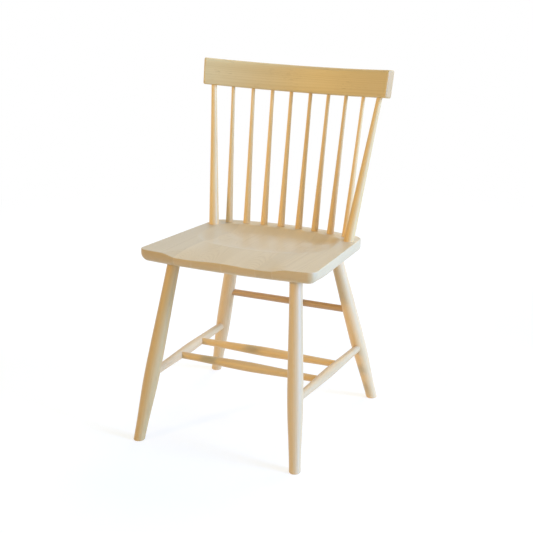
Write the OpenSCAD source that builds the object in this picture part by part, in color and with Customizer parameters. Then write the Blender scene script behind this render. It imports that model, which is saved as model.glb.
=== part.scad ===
// Spindle-back side chair in pale maple.
// Eight spindles and two posts stand in a scooped plank seat and carry a bent crest rail.
// Four splayed legs are tied by two side stretchers, two cross stretchers and a rear stretcher.
// Millimetres, +Z up, the front of the chair towards -Y, the feet on z = 0.

/* [Seat] */
// Height of the seat's top at the middle of its front edge
seat_height = 458.5; // [430:1:480]
// Fall of the seat towards the back, in degrees
seat_pitch = 3.5; // [0:0.1:6]
// Width of the seat at its front edge, before its corners are rounded
seat_width = 444.5; // [432:0.5:475]
// Depth of the seat from the middle of its front edge to the middle of its rear edge
seat_depth = 418; // [408:1:440]
// Inward slope of each side towards the back, in degrees
seat_taper = 3.3; // [2.5:0.05:4.2]
// Thickness of the plank
seat_thickness = 30; // [28:0.5:36]
// Radius of the curved front edge
front_edge_radius = 1550; // [1000:10:2400]
// Radius of the curved rear edge
rear_edge_radius = 550; // [480:10:900]
// Radius of the front corners, seen from above
front_corner_radius = 22; // [22:0.5:36]
// Radius of the rear corners, seen from above
rear_corner_radius = 34; // [30:1:60]
// Radius of the rounded lower edge at the front
underside_round = 20.5; // [8:0.5:21]
// Radius of the rounded lower edge at the sides and the back
side_underside_round = 11.5; // [6:0.5:16]
// Places of the glue joints between the boards, from the middle of the seat
board_joints = [-123, -77, 0, 83, 122]; // [-150:1:150]
// Glue line between two boards
glue_line = 0.1; // [0.05:0.05:0.3]

/* [Scoop] */
// Depth of the bowl at the back of the seat
bowl_depth = 13; // [6:0.5:15]
// Half width of the bowl
bowl_half_width = 168; // [150:1:172]
// Distance of the bowl's middle from the front edge
bowl_middle = 250; // [235:1:260]
// Length of the bowl behind its middle
bowl_rear_reach = 123.5; // [100:0.5:129]
// Length of the bowl in front of its middle
bowl_front_reach = 115; // [70:1:130]
// Squareness of the bowl's outline at the front: 2 is an ellipse, more is squarer
bowl_square_ratio = 2.5; // [2:0.1:4]
// Squareness of the bowl's outline at the back, where it follows the seat's rear edge
bowl_rear_square_ratio = 9; // [3:0.5:12]
// Part of the bowl's reach that its front and side walls take up
bowl_wall_ratio = 0.7; // [0.3:0.05:0.9]
// Part of the bowl's reach that its steeper rear wall takes up
bowl_rear_wall_ratio = 0.35; // [0.25:0.01:0.6]
// Crispness of the bowl's upper edge at the front and the sides: 0 is rounded, 1 is an arris
bowl_crisp_ratio = 0.85; // [0:0.05:1]
// Crispness of the bowl's upper edge at the back
bowl_rear_crisp_ratio = 0.5; // [0:0.05:1]
// Depth of the hollow at the front edge, under the thighs
thigh_depth = 7; // [4:0.5:12]
// Half width of the thigh hollow at the front edge
thigh_half_width = 160; // [130:1:165]
// Width of the slope at each side of the thigh hollow
thigh_side_slope = 43; // [25:1:60]
// Loss of that half width for each millimetre back from the front edge
thigh_narrowing_ratio = 0.35; // [0:0.05:0.6]
// Length of the thigh hollow from the front edge back
thigh_reach = 130; // [90:1:240]
// Length over which the thigh hollow fades out at its end
thigh_fade = 125; // [60:5:180]
// Rise left in the middle of the front edge
pommel_rise = 3.5; // [0:0.1:6]
// Half width of that rise
pommel_half_width = 100; // [40:1:110]

/* [Legs] */
// Distance of a front leg from the seat's centre line, at the seat's top
front_leg_x = 151; // [135:1:160]
// Distance of a front leg from the front edge, at the seat's top
front_leg_inset = 77; // [68:1:95]
// Distance of a rear leg from the seat's centre line, at the seat's top
rear_leg_x = 126.5; // [110:0.5:135]
// Distance of a rear leg from the front edge, at the seat's top
rear_leg_inset = 354.5; // [335:0.5:362]
// Distance between the middles of the front feet
front_feet_apart = 403; // [360:1:440]
// Distance between the middles of the rear feet
rear_feet_apart = 446.5; // [400:0.5:480]
// Distance of the front feet ahead of the seat's front edge
front_feet_ahead = 42.5; // [20:0.5:60]
// Distance from the front feet to the rear feet
feet_depth = 457; // [420:1:490]
// Diameter of a leg under the seat
leg_top_diameter = 30; // [27:0.5:34]
// Diameter of a leg at its thickest
leg_swell_diameter = 36.5; // [34:0.5:42]
// Diameter of a leg at the floor
leg_foot_diameter = 26.5; // [22:0.5:32]
// Place of the swell, as a height above the floor
leg_swell_height = 160; // [120:1:220]
// Diameter of the tenon in the seat
leg_tenon_diameter = 24; // [18:0.5:26]
// Thickness of wood left over a leg's tenon
leg_tenon_cover = 12; // [11:0.5:16]

/* [Stretchers] */
// Height of the side stretchers at the front legs
side_front_height = 156; // [120:1:200]
// Height of the side stretchers at the rear legs
side_rear_height = 140.5; // [110:0.5:190]
// Diameter of a side stretcher at its ends
side_end_diameter = 19; // [15:0.5:20]
// Diameter of a side stretcher in its middle
side_middle_diameter = 24.5; // [21:0.5:30]
// Place of the front cross stretcher along the side stretchers, from the front
cross_front_ratio = 0.362; // [0.2:0.001:0.45]
// Place of the rear cross stretcher along the side stretchers, from the front
cross_rear_ratio = 0.646; // [0.55:0.001:0.8]
// Diameter of a cross stretcher at its ends
cross_end_diameter = 17; // [11:0.5:17]
// Diameter of a cross stretcher in its middle
cross_middle_diameter = 24; // [18:0.5:28]
// Height of the rear stretcher
rear_stretcher_height = 242; // [200:1:300]
// Diameter of the rear stretcher at its ends
rear_end_diameter = 16.8; // [12:0.1:18]
// Diameter of the rear stretcher in its middle
rear_middle_diameter = 17.6; // [14:0.1:24]
// Depth of the stretchers' ends in the legs
leg_socket_depth = 22; // [14:0.5:23]
// Depth of the cross stretchers' ends in the side stretchers
side_socket_depth = 13; // [8:0.5:14]

/* [Back] */
// Distance of a back post from the seat's centre line, at the seat's top
post_x = 182; // [175:0.5:186]
// Distance of a back post from the front edge, at the seat's top
post_inset = 331; // [315:1:338]
// Diameter of a back post at the seat
post_foot_diameter = 24.5; // [18:0.5:26]
// Diameter of a back post under the crest rail
post_top_diameter = 13.8; // [10:0.1:16]
// Distance of the spindles from the seat's rear edge
spindle_inset = 23.5; // [20:0.5:26]
// Distance between the middle pair of spindles, at the seat
spindle_foot_gap = 48; // [42:0.5:52]
// Distance between two other spindles, along the seat's rear edge
spindle_foot_pitch = 45.6; // [42:0.1:47]
// Diameter of a spindle at the seat
spindle_foot_diameter = 17.8; // [12:0.1:20]
// Diameter of a spindle under the crest rail
spindle_top_diameter = 9.1; // [8:0.1:12]
// Thinning of a spindle towards its top: 1 is an even taper, more is a slimmer middle
spindle_taper_ratio = 1.75; // [1:0.05:3]
// Thinning of a post towards its top, as for a spindle
post_taper_ratio = 1.2; // [1:0.05:3]
// Depth of the posts' and spindles' sockets in the seat
seat_socket_depth = 19; // [12:0.5:22]

/* [Crest rail] */
// Straight distance between the ends of the rail's front face
crest_length = 483; // [470:1:520]
// Height of the rail, measured along its own slope
crest_height = 66; // [50:1:80]
// Thickness of the rail
crest_thickness = 21.5; // [19:0.5:28]
// Depth of the rail's curve
crest_bow = 55; // [30:1:65]
// Backward tilt of the rail, in degrees
crest_tilt = 13.9; // [8:0.1:20]
// Height of the rail's lower edge at its ends
crest_base_height = 780; // [720:1:820]
// Distance of the rail's ends behind the seat's front edge
crest_setback = 396.5; // [370:0.5:430]
// Outward lean of each end face, in degrees
crest_end_flare = 2.5; // [0:0.1:6]
// Radius of the rail's upper front edge
crest_front_round = 9; // [3:0.5:10]
// Radius of the rail's other edges
crest_edge_round = 3; // [1:0.5:6]
// Distance between the middle pair of spindles, at the crest rail
spindle_top_gap = 51.6; // [46:0.1:56]
// Distance between two other spindles, across the crest rail
spindle_top_pitch = 49.3; // [45:0.1:51]
// Distance from the outer spindle to the post, across the crest rail
post_top_pitch = 46; // [38:0.5:48]
// Depth of the posts' and spindles' sockets in the crest rail
crest_socket_depth = 24; // [15:0.5:35]

/* [Fits] */
// Gap round a tenon in its socket
fit_gap = 0.1; // [0.05:0.05:0.2]
// Room left for glue at the bottom of a socket
socket_end_gap = 1; // [0.5:0.1:2]

/* [Hidden] */

// Spindles on each side of the centre line
spindles_a_side = 4;
// Facets of round parts
$fn = 64;
// Steps along a turned profile
profile_steps = 14;
// Turn of a stick's profile about the stick, which keeps its start off the lines of lean
profile_turn = 90;
// Largest spacing of the points that shape the scoop
scoop_step = 8;
// Steps round each corner of the seat and round its lower edge
corner_steps = 6;
edge_steps = 5;
// Steps along half of the front and the rear edge, and along a side
long_steps = 6;
side_steps = 8;
// Places, from the front, between which the lower edge's rounding changes to that of the sides
round_change_start = 20;
round_change_end = 110;
// Room by which cutting tools pass the wood
spare = 40;
// Angle by which the crest rail is first made longer at each end, before its ends are cut
end_spare_turn = 2;
// Overlap of small 2D tools
nib = 1;

wood_pale = "#ecd9b4";
wood_warm = "#e2c797";
wood_light = "#f1e2c4";

// Plain vector helpers
// The place p as it is on the right side, 1, or mirrored to the left side, -1
function sided(p, side) = [side * p[0], p[1], p[2]];
function between(a, b, t) = a + (b - a) * t;
function length_of(a, b) = norm(b - a);
function along(a, b, d) = a + (b - a) * d / norm(b - a);
function clamp(t) = min(1, max(0, t));
function ease(t) = let(c = clamp(t)) c * c * (3 - 2 * c);

// The seat's own plane: x across, v back from the middle of the front edge, h up from the top
function on_seat(x, v, h = 0) = [
    x,
    v * cos(seat_pitch) + h * sin(seat_pitch),
    seat_height - v * sin(seat_pitch) + h * cos(seat_pitch)
];

// Seat outline, seen from above: two long arcs, two tapered sides and four corner arcs.
// side_x is where a side crosses depth v.
function side_x(v) = seat_width / 2 - v * tan(seat_taper);
front_arc_v = front_edge_radius;
rear_arc_v = seat_depth - rear_edge_radius;
// Middle of the corner arc that touches both the side and a long arc about (0, arc_v)
function corner_middle(arc_v, arc_r, r, way) =
    let(
        u = [-sin(seat_taper), cos(seat_taper)],
        a = [side_x(0) - r * cos(seat_taper), -r * sin(seat_taper)] - [0, arc_v],
        b = a * u,
        c = a * a - (arc_r - r) * (arc_r - r)
    ) [0, arc_v] + a + u * (-b + way * sqrt(b * b - c));
front_corner = corner_middle(front_arc_v, front_edge_radius, front_corner_radius, -1);
rear_corner = corner_middle(rear_arc_v, rear_edge_radius, rear_corner_radius, 1);
// Angles, from the centre line, at which the long arcs meet the corner arcs
front_arc_angle = atan2(front_corner[0], front_arc_v - front_corner[1]);
rear_arc_angle = atan2(rear_corner[0], rear_corner[1] - rear_arc_v);

// Points of one arc as [x, v, outward normal x, outward normal v]
function arc_points(middle, r, from, to, steps) = [
    for (i = [0:steps])
        let(a = between(from, to, i / steps))
            [middle[0] + r * cos(a), middle[1] + r * sin(a), cos(a), sin(a)]
];
front_corner_arc =
    arc_points(front_corner, front_corner_radius, -90 + front_arc_angle, seat_taper, corner_steps);
rear_corner_arc =
    arc_points(rear_corner, rear_corner_radius, seat_taper, 90 - rear_arc_angle, corner_steps);
// The long arcs start half a step off the centre line, so that no point lies beside its joint
half_step = 0.5 / (long_steps + 0.5);
front_arc_start = -90 + front_arc_angle * half_step;
rear_arc_end = 90 - rear_arc_angle * half_step;
// Right half of the outline, from the front to the back
half_outline = concat(
    arc_points([0, front_arc_v], front_edge_radius, front_arc_start, -90 + front_arc_angle, long_steps),
    front_corner_arc,
    [
        for (i = [1:side_steps - 1])
            between(front_corner_arc[corner_steps], rear_corner_arc[0], i / side_steps)
    ],
    rear_corner_arc,
    arc_points([0, rear_arc_v], rear_edge_radius, 90 - rear_arc_angle, rear_arc_end, long_steps)
);
function same_place(p, q) = norm([p[0] - q[0], p[1] - q[1]]) < 0.001;
half_clean = [
    for (i = [0:len(half_outline) - 1])
        if (i == 0 || !same_place(half_outline[i], half_outline[i - 1])) half_outline[i]
];
half_last = len(half_clean) - 1;
outline = concat(
    half_clean,
    [for (i = [half_last:-1:0]) let(p = half_clean[i]) [-p[0], p[1], -p[2], p[3]]]
);
outline_count = len(outline);

// Radius of the rounded lower edge at a distance from the front
function round_at(v) = between(
    underside_round,
    side_underside_round,
    ease((v - round_change_start) / (round_change_end - round_change_start))
);

// Depth of the scoop at a place on the seat
function bowl_at(x, v) =
    let(
        rearward = ease((v - bowl_middle) / bowl_rear_reach * 2),
        bent = v + rearward * x * x / (2 * rear_edge_radius),
        reach = v > bowl_middle ? bowl_rear_reach : bowl_front_reach,
        squareness = between(bowl_square_ratio, bowl_rear_square_ratio, rearward),
        across = pow(abs(x) / bowl_half_width, squareness),
        back = pow(abs(bent - bowl_middle) / reach, squareness),
        edge = pow(across + back, 1 / squareness),
        wall = between(bowl_wall_ratio, bowl_rear_wall_ratio, rearward),
        inward = clamp((1 - edge) / wall),
        crispness = between(bowl_crisp_ratio, bowl_rear_crisp_ratio, rearward)
    ) bowl_depth * between(ease(inward), 1 - pow(1 - inward, 2), crispness);
function thigh_at(x, v) =
    let(
        half_span = thigh_half_width - thigh_narrowing_ratio * max(v, 0),
        across = ease((half_span - abs(x)) / thigh_side_slope),
        rise = pommel_rise * ease(1 - abs(x) / pommel_half_width),
        lengthwise = pow(clamp((thigh_reach - v) / thigh_fade), 2)
    ) (thigh_depth - rise) * across * lengthwise;
function scoop_at(x, v) = sqrt(pow(bowl_at(x, v), 2) + pow(thigh_at(x, v), 2));

// Leg axes, from the seat's top to the floor
leg_front_top = on_seat(front_leg_x, front_leg_inset);
leg_rear_top = on_seat(rear_leg_x, rear_leg_inset);
leg_front_foot = [front_feet_apart / 2, -front_feet_ahead, 0];
leg_rear_foot = [rear_feet_apart / 2, feet_depth - front_feet_ahead, 0];
function at_height(top, foot, z) = between(foot, top, (z - foot[2]) / (top[2] - foot[2]));
// Cosine of the lean between a stick and the seat's normal
function seat_lean(a, b) =
    let(d = (b - a) / norm(b - a)) abs(d[1] * sin(seat_pitch) + d[2] * cos(seat_pitch));
// Place on a leg's axis at a depth under the seat's top
function under_seat(top, foot, depth) = along(top, foot, depth / seat_lean(top, foot));

// Radius of a leg at a height above the floor
function leg_radius(z) =
    let(
        top = seat_height - seat_thickness,
        upper = ease((top - z) / (top - leg_swell_height)),
        lower = ease((leg_swell_height - z) / leg_swell_height)
    )
    z > leg_swell_height
        ? between(leg_top_diameter, leg_swell_diameter, upper) / 2
        : between(leg_swell_diameter, leg_foot_diameter, lower) / 2;

// Stretcher axes
side_front = at_height(leg_front_top, leg_front_foot, side_front_height);
side_rear = at_height(leg_rear_top, leg_rear_foot, side_rear_height);
rear_right = at_height(leg_rear_top, leg_rear_foot, rear_stretcher_height);
cross_front = between(side_front, side_rear, cross_front_ratio);
cross_rear = between(side_front, side_rear, cross_rear_ratio);
// Length of an end that lies in a piece of radius r, beyond that piece's axis
function past_axis(depth, r) = depth - r;
cross_past_axis = past_axis(side_socket_depth, side_middle_diameter / 2);

// Crest rail: a strip about an upright axis in front of it, tilted back as a whole
half_length = crest_length / 2;
crest_radius = (pow(half_length, 2) + pow(crest_bow, 2)) / (2 * crest_bow);
crest_end_angle = asin(half_length / crest_radius);
crest_mid_radius = crest_radius + crest_thickness / 2;
// A place on the rail: x across, n back from the chord of its front face, s up its slope
function on_crest(x, n, s) = [
    x,
    crest_setback + n * cos(crest_tilt) + s * sin(crest_tilt),
    crest_base_height - n * sin(crest_tilt) + s * cos(crest_tilt)
];
function crest_middle_n(x) = crest_bow - crest_radius + sqrt(pow(crest_mid_radius, 2) - x * x);
function crest_foot(x) = on_crest(x, crest_middle_n(x), 0);

// Posts and spindles, from the seat's top to the crest rail's lower edge
post_foot = on_seat(post_x, post_inset);
function spindle_top_x(i) = spindle_top_gap / 2 + spindle_top_pitch * i;
post_top = crest_foot(spindle_top_x(spindles_a_side - 1) + post_top_pitch);
// A place on the line that lies spindle_inset inside the rear edge, s along it from the middle
row_radius = rear_edge_radius - spindle_inset;
row_turn = row_radius * rear_arc_angle * PI / 180;
function on_row(s) =
    s < row_turn
        ? let(a = s / row_radius * 180 / PI) [row_radius * sin(a), rear_arc_v + row_radius * cos(a)]
        : let(
            r = rear_corner_radius - spindle_inset,
            a = rear_arc_angle + (s - row_turn) / r * 180 / PI
        ) rear_corner + [r * sin(a), r * cos(a)];
function spindle_foot(i) =
    let(p = on_row(spindle_foot_gap / 2 + spindle_foot_pitch * i)) on_seat(p[0], p[1]);
function spindle_top(i) = crest_foot(spindle_top_x(i));
// Spindles counted from the viewer's left: 0 to 3 left of the centre line, 4 to 7 right of it
function spindle_ends(k) =
    let(i = k < spindles_a_side ? spindles_a_side - 1 - k : k - spindles_a_side)
        k < spindles_a_side
            ? [sided(spindle_foot(i), -1), sided(spindle_top(i), -1)]
            : [spindle_foot(i), spindle_top(i)];

// Middle of the chair's depth, from its front feet to the back of the crest rail
front_lean = (leg_front_top - leg_front_foot) / norm(leg_front_top - leg_front_foot);
foot_reach = leg_foot_diameter / 2 * norm([front_lean[1], front_lean[2]]) / front_lean[2];
chair_front = leg_front_foot[1] - foot_reach;
chair_back = crest_setback
    + (crest_bow + crest_thickness - crest_edge_round) * cos(crest_tilt)
    + (crest_height - crest_edge_round) * sin(crest_tilt)
    + crest_edge_round;
depth_middle = (chair_front + chair_back) / 2;

// Puts what is drawn about the seat's front edge over the middle of the chair
module place() {
    translate([0, -depth_middle, 0])
        children();
}

// Puts a shape drawn up +Z on the line from a to b
module from_to(a, b) {
    d = b - a;
    translate(a)
        rotate([0, acos(d[2] / norm(d)), atan2(d[1], d[0])])
            children();
}

// Turned stick from a to b with the radii at evenly spaced steps
module turned(a, b, radii) {
    last = len(radii) - 1;
    step = length_of(a, b) / last;
    from_to(a, b)
        rotate([0, 0, profile_turn])
            rotate_extrude()
                polygon(concat(
                    [[0, 0]],
                    [for (i = [0:last]) [radii[i], i * step]],
                    [[0, last * step]]
                ));
}

// Plain round end from a to b
module dowel(a, b, d) {
    from_to(a, b)
        cylinder(h = length_of(a, b), d = d);
}

// Socket that opens before a and ends just past b
module socket(a, b, d) {
    from_to(along(a, b, -spare), along(b, a, -socket_end_gap))
        cylinder(h = length_of(a, b) + spare + socket_end_gap, d = d + 2 * fit_gap);
}

// Plank of the seat before it is scooped, with a rounded lower edge and no top.
// Each ring of points follows the outline, the first one above the top, the last one underneath.
// The flat faces are made about a hub that lies off the joints.
module plank() {
    rings = edge_steps + 2;
    hub = [(board_joints[2] + board_joints[3]) / 2, seat_depth / 2];
    points = concat(
        [for (p = outline) [p[0], p[1], spare]],
        [
            for (k = [0:edge_steps])
                for (p = outline)
                    let(a = 90 * k / edge_steps, r = round_at(p[1]), inset = r * (1 - cos(a)))
                        [
                            p[0] - inset * p[2],
                            p[1] - inset * p[3],
                            r * (1 - sin(a)) - seat_thickness
                        ]
        ],
        [[hub[0], hub[1], spare], [hub[0], hub[1], -seat_thickness]]
    );
    function id(k, i) = k * outline_count + i % outline_count;
    upper_hub = rings * outline_count;
    polyhedron(points, concat(
        [for (i = [0:outline_count - 1]) [upper_hub, id(0, i + 1), id(0, i)]],
        [
            for (k = [0:rings - 2])
                for (i = [0:outline_count - 1])
                    each [
                        [id(k + 1, i), id(k, i), id(k, i + 1)],
                        [id(k + 1, i), id(k, i + 1), id(k + 1, i + 1)]
                    ]
        ],
        [for (i = [0:outline_count - 1]) [upper_hub + 1, id(rings - 1, i), id(rings - 1, i + 1)]]
    ));
}

// Block between two glue joints whose top is the scooped surface of the seat.
// Its underside runs to one low point, and the plank's own underside bounds the board.
module scooped_block(x0, x1) {
    v0 = -spare;
    v1 = seat_depth + spare;
    nx = ceil((x1 - x0) / scoop_step);
    nv = ceil((v1 - v0) / scoop_step);
    top = [
        for (j = [0:nv])
            for (i = [0:nx])
                let(x = between(x0, x1, i / nx), v = between(v0, v1, j / nv)) [x, v, -scoop_at(x, v)]
    ];
    function id(i, j) = j * (nx + 1) + i;
    rim = concat(
        [for (i = [0:nx - 1]) id(i, 0)],
        [for (j = [0:nv - 1]) id(nx, j)],
        [for (i = [nx:-1:1]) id(i, nv)],
        [for (j = [nv:-1:1]) id(0, j)]
    );
    rim_count = len(rim);
    base = len(top);
    low = -seat_thickness - spare;
    keel = [(x0 + x1) / 2, (v0 + v1) / 2, low - spare];
    polyhedron(
        concat(top, [for (k = rim) [top[k][0], top[k][1], low]], [keel]),
        concat(
            [
                for (j = [0:nv - 1])
                    for (i = [0:nx - 1])
                        each [
                            [id(i, j), id(i, j + 1), id(i + 1, j + 1)],
                            [id(i, j), id(i + 1, j + 1), id(i + 1, j)]
                        ]
            ],
            [
                for (k = [0:rim_count - 1])
                    let(next = (k + 1) % rim_count)
                        each [
                            [base + k, rim[k], rim[next]],
                            [base + k, rim[next], base + next],
                            [base + k, base + next, base + rim_count]
                        ]
            ]
        )
    );
}

// Sockets of the seat that reach the strip between x0 and x1
module seat_sockets(x0, x1) {
    reach = leg_top_diameter;
    function reached(x) = x > x0 - reach && x < x1 + reach;
    for (side = [-1, 1]) {
        if (reached(side * front_leg_x))
            leg_socket(sided(leg_front_top, side), sided(leg_front_foot, side));
        if (reached(side * rear_leg_x))
            leg_socket(sided(leg_rear_top, side), sided(leg_rear_foot, side));
        if (reached(side * post_x))
            socket(
                sided(post_foot, side),
                sided(along(post_foot, post_top, -seat_socket_depth), side),
                post_foot_diameter
            );
    }
    for (k = [0:2 * spindles_a_side - 1]) {
        ends = spindle_ends(k);
        if (reached(ends[0][0]))
            socket(ends[0], along(ends[0], ends[1], -seat_socket_depth), spindle_foot_diameter);
    }
}

// Socket for a leg's tenon, open at the seat's underside
module leg_socket(top, foot) {
    socket(
        under_seat(top, foot, seat_thickness),
        under_seat(top, foot, leg_tenon_cover),
        leg_tenon_diameter
    );
}

// One board of the seat, numbered from the viewer's left
module seat_board(number) {
    edges = concat([-seat_width], board_joints, [seat_width]);
    x0 = edges[number - 1] + glue_line / 2;
    x1 = edges[number] - glue_line / 2;
    outer = seat_width / 2 + scoop_step;
    tones = [wood_pale, wood_warm, wood_light];
    color(tones[number % 3])
        place()
            difference() {
                translate([0, 0, seat_height])
                    rotate([-seat_pitch, 0, 0])
                        intersection() {
                            plank();
                            scooped_block(max(x0, -outer), min(x1, outer));
                        }
                seat_sockets(x0, x1);
            }
}

// Leg with a tenon in the seat; its shoulder is cut to the seat's underside, its foot to the floor
module leg(top, foot, cuts) {
    below = along(foot, top, -spare);
    shaft_top = under_seat(top, foot, seat_thickness - spare / 2);
    steps = profile_steps;
    difference() {
        union() {
            intersection() {
                turned(below, shaft_top, [
                    for (i = [0:steps]) leg_radius(between(below, shaft_top, i / steps)[2])
                ]);
                leg_room();
            }
            dowel(
                under_seat(top, foot, seat_thickness + leg_tenon_diameter),
                under_seat(top, foot, leg_tenon_cover),
                leg_tenon_diameter
            );
        }
        children();
    }
}

// Space between the floor and the seat's underside
module leg_room() {
    size = 2 * (seat_width + seat_depth);
    intersection() {
        translate([-size / 2, -size / 2, 0])
            cube([size, size, seat_height + spare]);
        translate([0, 0, seat_height])
            rotate([-seat_pitch, 0, 0])
                translate([-size / 2, -size / 2, -size - seat_thickness - fit_gap])
                    cube([size, size, size]);
    }
}

// Stretcher between two axes a and b, swelling from end_d to middle_d between its sockets
module stretcher(a, b, from_depth, to_depth, end_d, middle_d) {
    turned(along(a, b, -from_depth), along(b, a, -to_depth), [
        for (i = [0:2 * profile_steps])
            let(
                whole = length_of(a, b) + from_depth + to_depth,
                d = i / (2 * profile_steps) * whole - from_depth,
                swell = ease(2 * clamp(min(d - end_d, length_of(a, b) - d - end_d) / length_of(a, b)))
            ) between(end_d, middle_d, swell) / 2
    ]);
}

// Stick of the back from the seat to the crest rail, thinning upwards as the given power
module back_stick(foot, top, foot_d, top_d, power) {
    start = along(foot, top, -seat_socket_depth);
    end = along(top, foot, -crest_socket_depth);
    whole = length_of(start, end);
    turned(start, end, [
        for (i = [0:2 * profile_steps])
            let(
                d = i / (2 * profile_steps) * whole - seat_socket_depth,
                t = clamp(d / length_of(foot, top))
            ) (top_d + (foot_d - top_d) * pow(1 - t, power)) / 2
    ]);
}

// Section of the crest rail with its edges rounded, drawn from its lower front corner
module crest_section() {
    difference() {
        square([crest_thickness, crest_height]);
        corner_waste([0, 0], 0, crest_edge_round);
        corner_waste([crest_thickness, 0], 90, crest_edge_round);
        corner_waste([crest_thickness, crest_height], 180, crest_edge_round);
        corner_waste([0, crest_height], 270, crest_front_round);
    }
}

// Waste outside a round of radius r at a corner, turned by the given angle
module corner_waste(corner, turn, r) {
    translate(corner)
        rotate(turn)
            difference() {
                translate([-nib, -nib])
                    square([r + nib, r + nib]);
                translate([r, r])
                    circle(r = r);
            }
}

// Wood beyond the rail's right end, which leans outwards towards the top
module crest_end_waste() {
    rotate([0, 0, 90 - crest_end_angle])
        translate([0, 0, crest_height / 2])
            rotate([crest_end_flare, 0, 0])
                translate([0, -spare, -crest_height])
                    cube([crest_mid_radius + spare, spare, 2 * crest_height]);
}

// Bent rail with a blind socket for each post and spindle
module crest_rail() {
    sweep = crest_end_angle + end_spare_turn;
    color(wood_light)
        place()
            difference() {
                translate([0, crest_setback, crest_base_height])
                    rotate([-crest_tilt, 0, 0])
                        translate([0, crest_bow - crest_radius, 0])
                            difference() {
                                rotate([0, 0, 90 - sweep])
                                    rotate_extrude(angle = 2 * sweep)
                                        translate([crest_radius, 0])
                                            crest_section();
                                crest_end_waste();
                                mirror([1, 0, 0])
                                    crest_end_waste();
                            }
                for (side = [-1, 1])
                    socket(
                        sided(post_top, side),
                        sided(along(post_top, post_foot, -crest_socket_depth), side),
                        post_top_diameter
                    );
                for (k = [0:2 * spindles_a_side - 1]) {
                    ends = spindle_ends(k);
                    socket(ends[1], along(ends[1], ends[0], -crest_socket_depth), spindle_top_diameter);
                }
            }
}

// Socket across a leg for a stretcher whose axis runs from a, inside the leg, to b
module leg_crossing(a, b, d) {
    socket(along(a, b, spare), along(a, b, -past_axis(leg_socket_depth, leg_radius(a[2]))), d);
}

module leg_front(side) {
    color(wood_pale)
        place()
            leg(sided(leg_front_top, side), sided(leg_front_foot, side))
                leg_crossing(sided(side_front, side), sided(side_rear, side), side_end_diameter);
}

module leg_rear(side) {
    color(wood_pale)
        place()
            leg(sided(leg_rear_top, side), sided(leg_rear_foot, side)) {
                leg_crossing(sided(side_rear, side), sided(side_front, side), side_end_diameter);
                leg_crossing(sided(rear_right, side), sided(rear_right, -side), rear_end_diameter);
            }
}

// Stretcher between the front and the rear leg of one side, with a socket for each cross stretcher
module side_stretcher(side) {
    color(wood_light)
        place()
            difference() {
                stretcher(
                    sided(side_front, side),
                    sided(side_rear, side),
                    past_axis(leg_socket_depth, leg_radius(side_front_height)),
                    past_axis(leg_socket_depth, leg_radius(side_rear_height)),
                    side_end_diameter,
                    side_middle_diameter
                );
                for (p = [cross_front, cross_rear])
                    socket(
                        sided(p, -side),
                        along(sided(p, side), sided(p, -side), -cross_past_axis),
                        cross_end_diameter
                    );
            }
}

// Stretcher that ties the two side stretchers at the place p of the right one
module cross_stretcher(p) {
    color(wood_pale)
        place()
            stretcher(
                p,
                sided(p, -1),
                cross_past_axis,
                cross_past_axis,
                cross_end_diameter,
                cross_middle_diameter
            );
}

module rear_stretcher() {
    depth = past_axis(leg_socket_depth, leg_radius(rear_stretcher_height));
    color(wood_warm)
        place()
            stretcher(
                rear_right,
                sided(rear_right, -1),
                depth,
                depth,
                rear_end_diameter,
                rear_middle_diameter
            );
}

module back_post(side) {
    color(wood_pale)
        place()
            back_stick(
                sided(post_foot, side),
                sided(post_top, side),
                post_foot_diameter,
                post_top_diameter,
                post_taper_ratio
            );
}

// Spindle counted from the viewer's left, 1 to 8
module spindle(number) {
    ends = spindle_ends(number - 1);
    color(wood_warm)
        place()
            back_stick(
                ends[0],
                ends[1],
                spindle_foot_diameter,
                spindle_top_diameter,
                spindle_taper_ratio
            );
}

seat_board(1);  // seat_board_1
seat_board(2);  // seat_board_2
seat_board(3);  // seat_board_3
seat_board(4);  // seat_board_4
seat_board(5);  // seat_board_5
seat_board(6);  // seat_board_6
leg_front(-1);  // leg_front_left
leg_front(1);  // leg_front_right
leg_rear(-1);  // leg_rear_left
leg_rear(1);  // leg_rear_right
side_stretcher(-1);  // side_stretcher_left
side_stretcher(1);  // side_stretcher_right
cross_stretcher(cross_front);  // cross_stretcher_front
cross_stretcher(cross_rear);  // cross_stretcher_rear
rear_stretcher();
back_post(-1);  // back_post_left
back_post(1);  // back_post_right
spindle(1);  // spindle_1
spindle(2);  // spindle_2
spindle(3);  // spindle_3
spindle(4);  // spindle_4
spindle(5);  // spindle_5
spindle(6);  // spindle_6
spindle(7);  // spindle_7
spindle(8);  // spindle_8
crest_rail();
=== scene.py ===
"""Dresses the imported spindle-back side chair: turned sticks, scooped seat and bent crest rail, in maple."""

import itertools
import logging
import math
from dataclasses import dataclass, replace
from enum import Enum
from typing import Callable, NamedTuple, Optional, Sequence, TypeVar, Union

import bmesh
import bpy
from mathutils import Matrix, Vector


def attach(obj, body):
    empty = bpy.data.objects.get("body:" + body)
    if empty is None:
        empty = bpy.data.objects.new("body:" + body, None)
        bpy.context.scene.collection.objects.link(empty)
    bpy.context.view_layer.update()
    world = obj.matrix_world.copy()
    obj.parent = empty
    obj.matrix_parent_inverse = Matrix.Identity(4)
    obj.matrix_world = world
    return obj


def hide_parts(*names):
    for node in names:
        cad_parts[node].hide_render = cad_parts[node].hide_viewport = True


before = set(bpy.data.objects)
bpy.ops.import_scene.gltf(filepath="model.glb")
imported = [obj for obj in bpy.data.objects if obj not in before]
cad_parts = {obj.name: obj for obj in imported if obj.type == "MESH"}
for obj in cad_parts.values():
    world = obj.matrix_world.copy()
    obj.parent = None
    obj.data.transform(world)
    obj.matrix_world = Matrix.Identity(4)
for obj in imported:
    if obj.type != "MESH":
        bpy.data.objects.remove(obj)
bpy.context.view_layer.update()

log = logging.getLogger("chair")

BODY = "root"
GRAIN = "grain"
TONE = "tone"
END_GRAIN = "end_grain"

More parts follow.
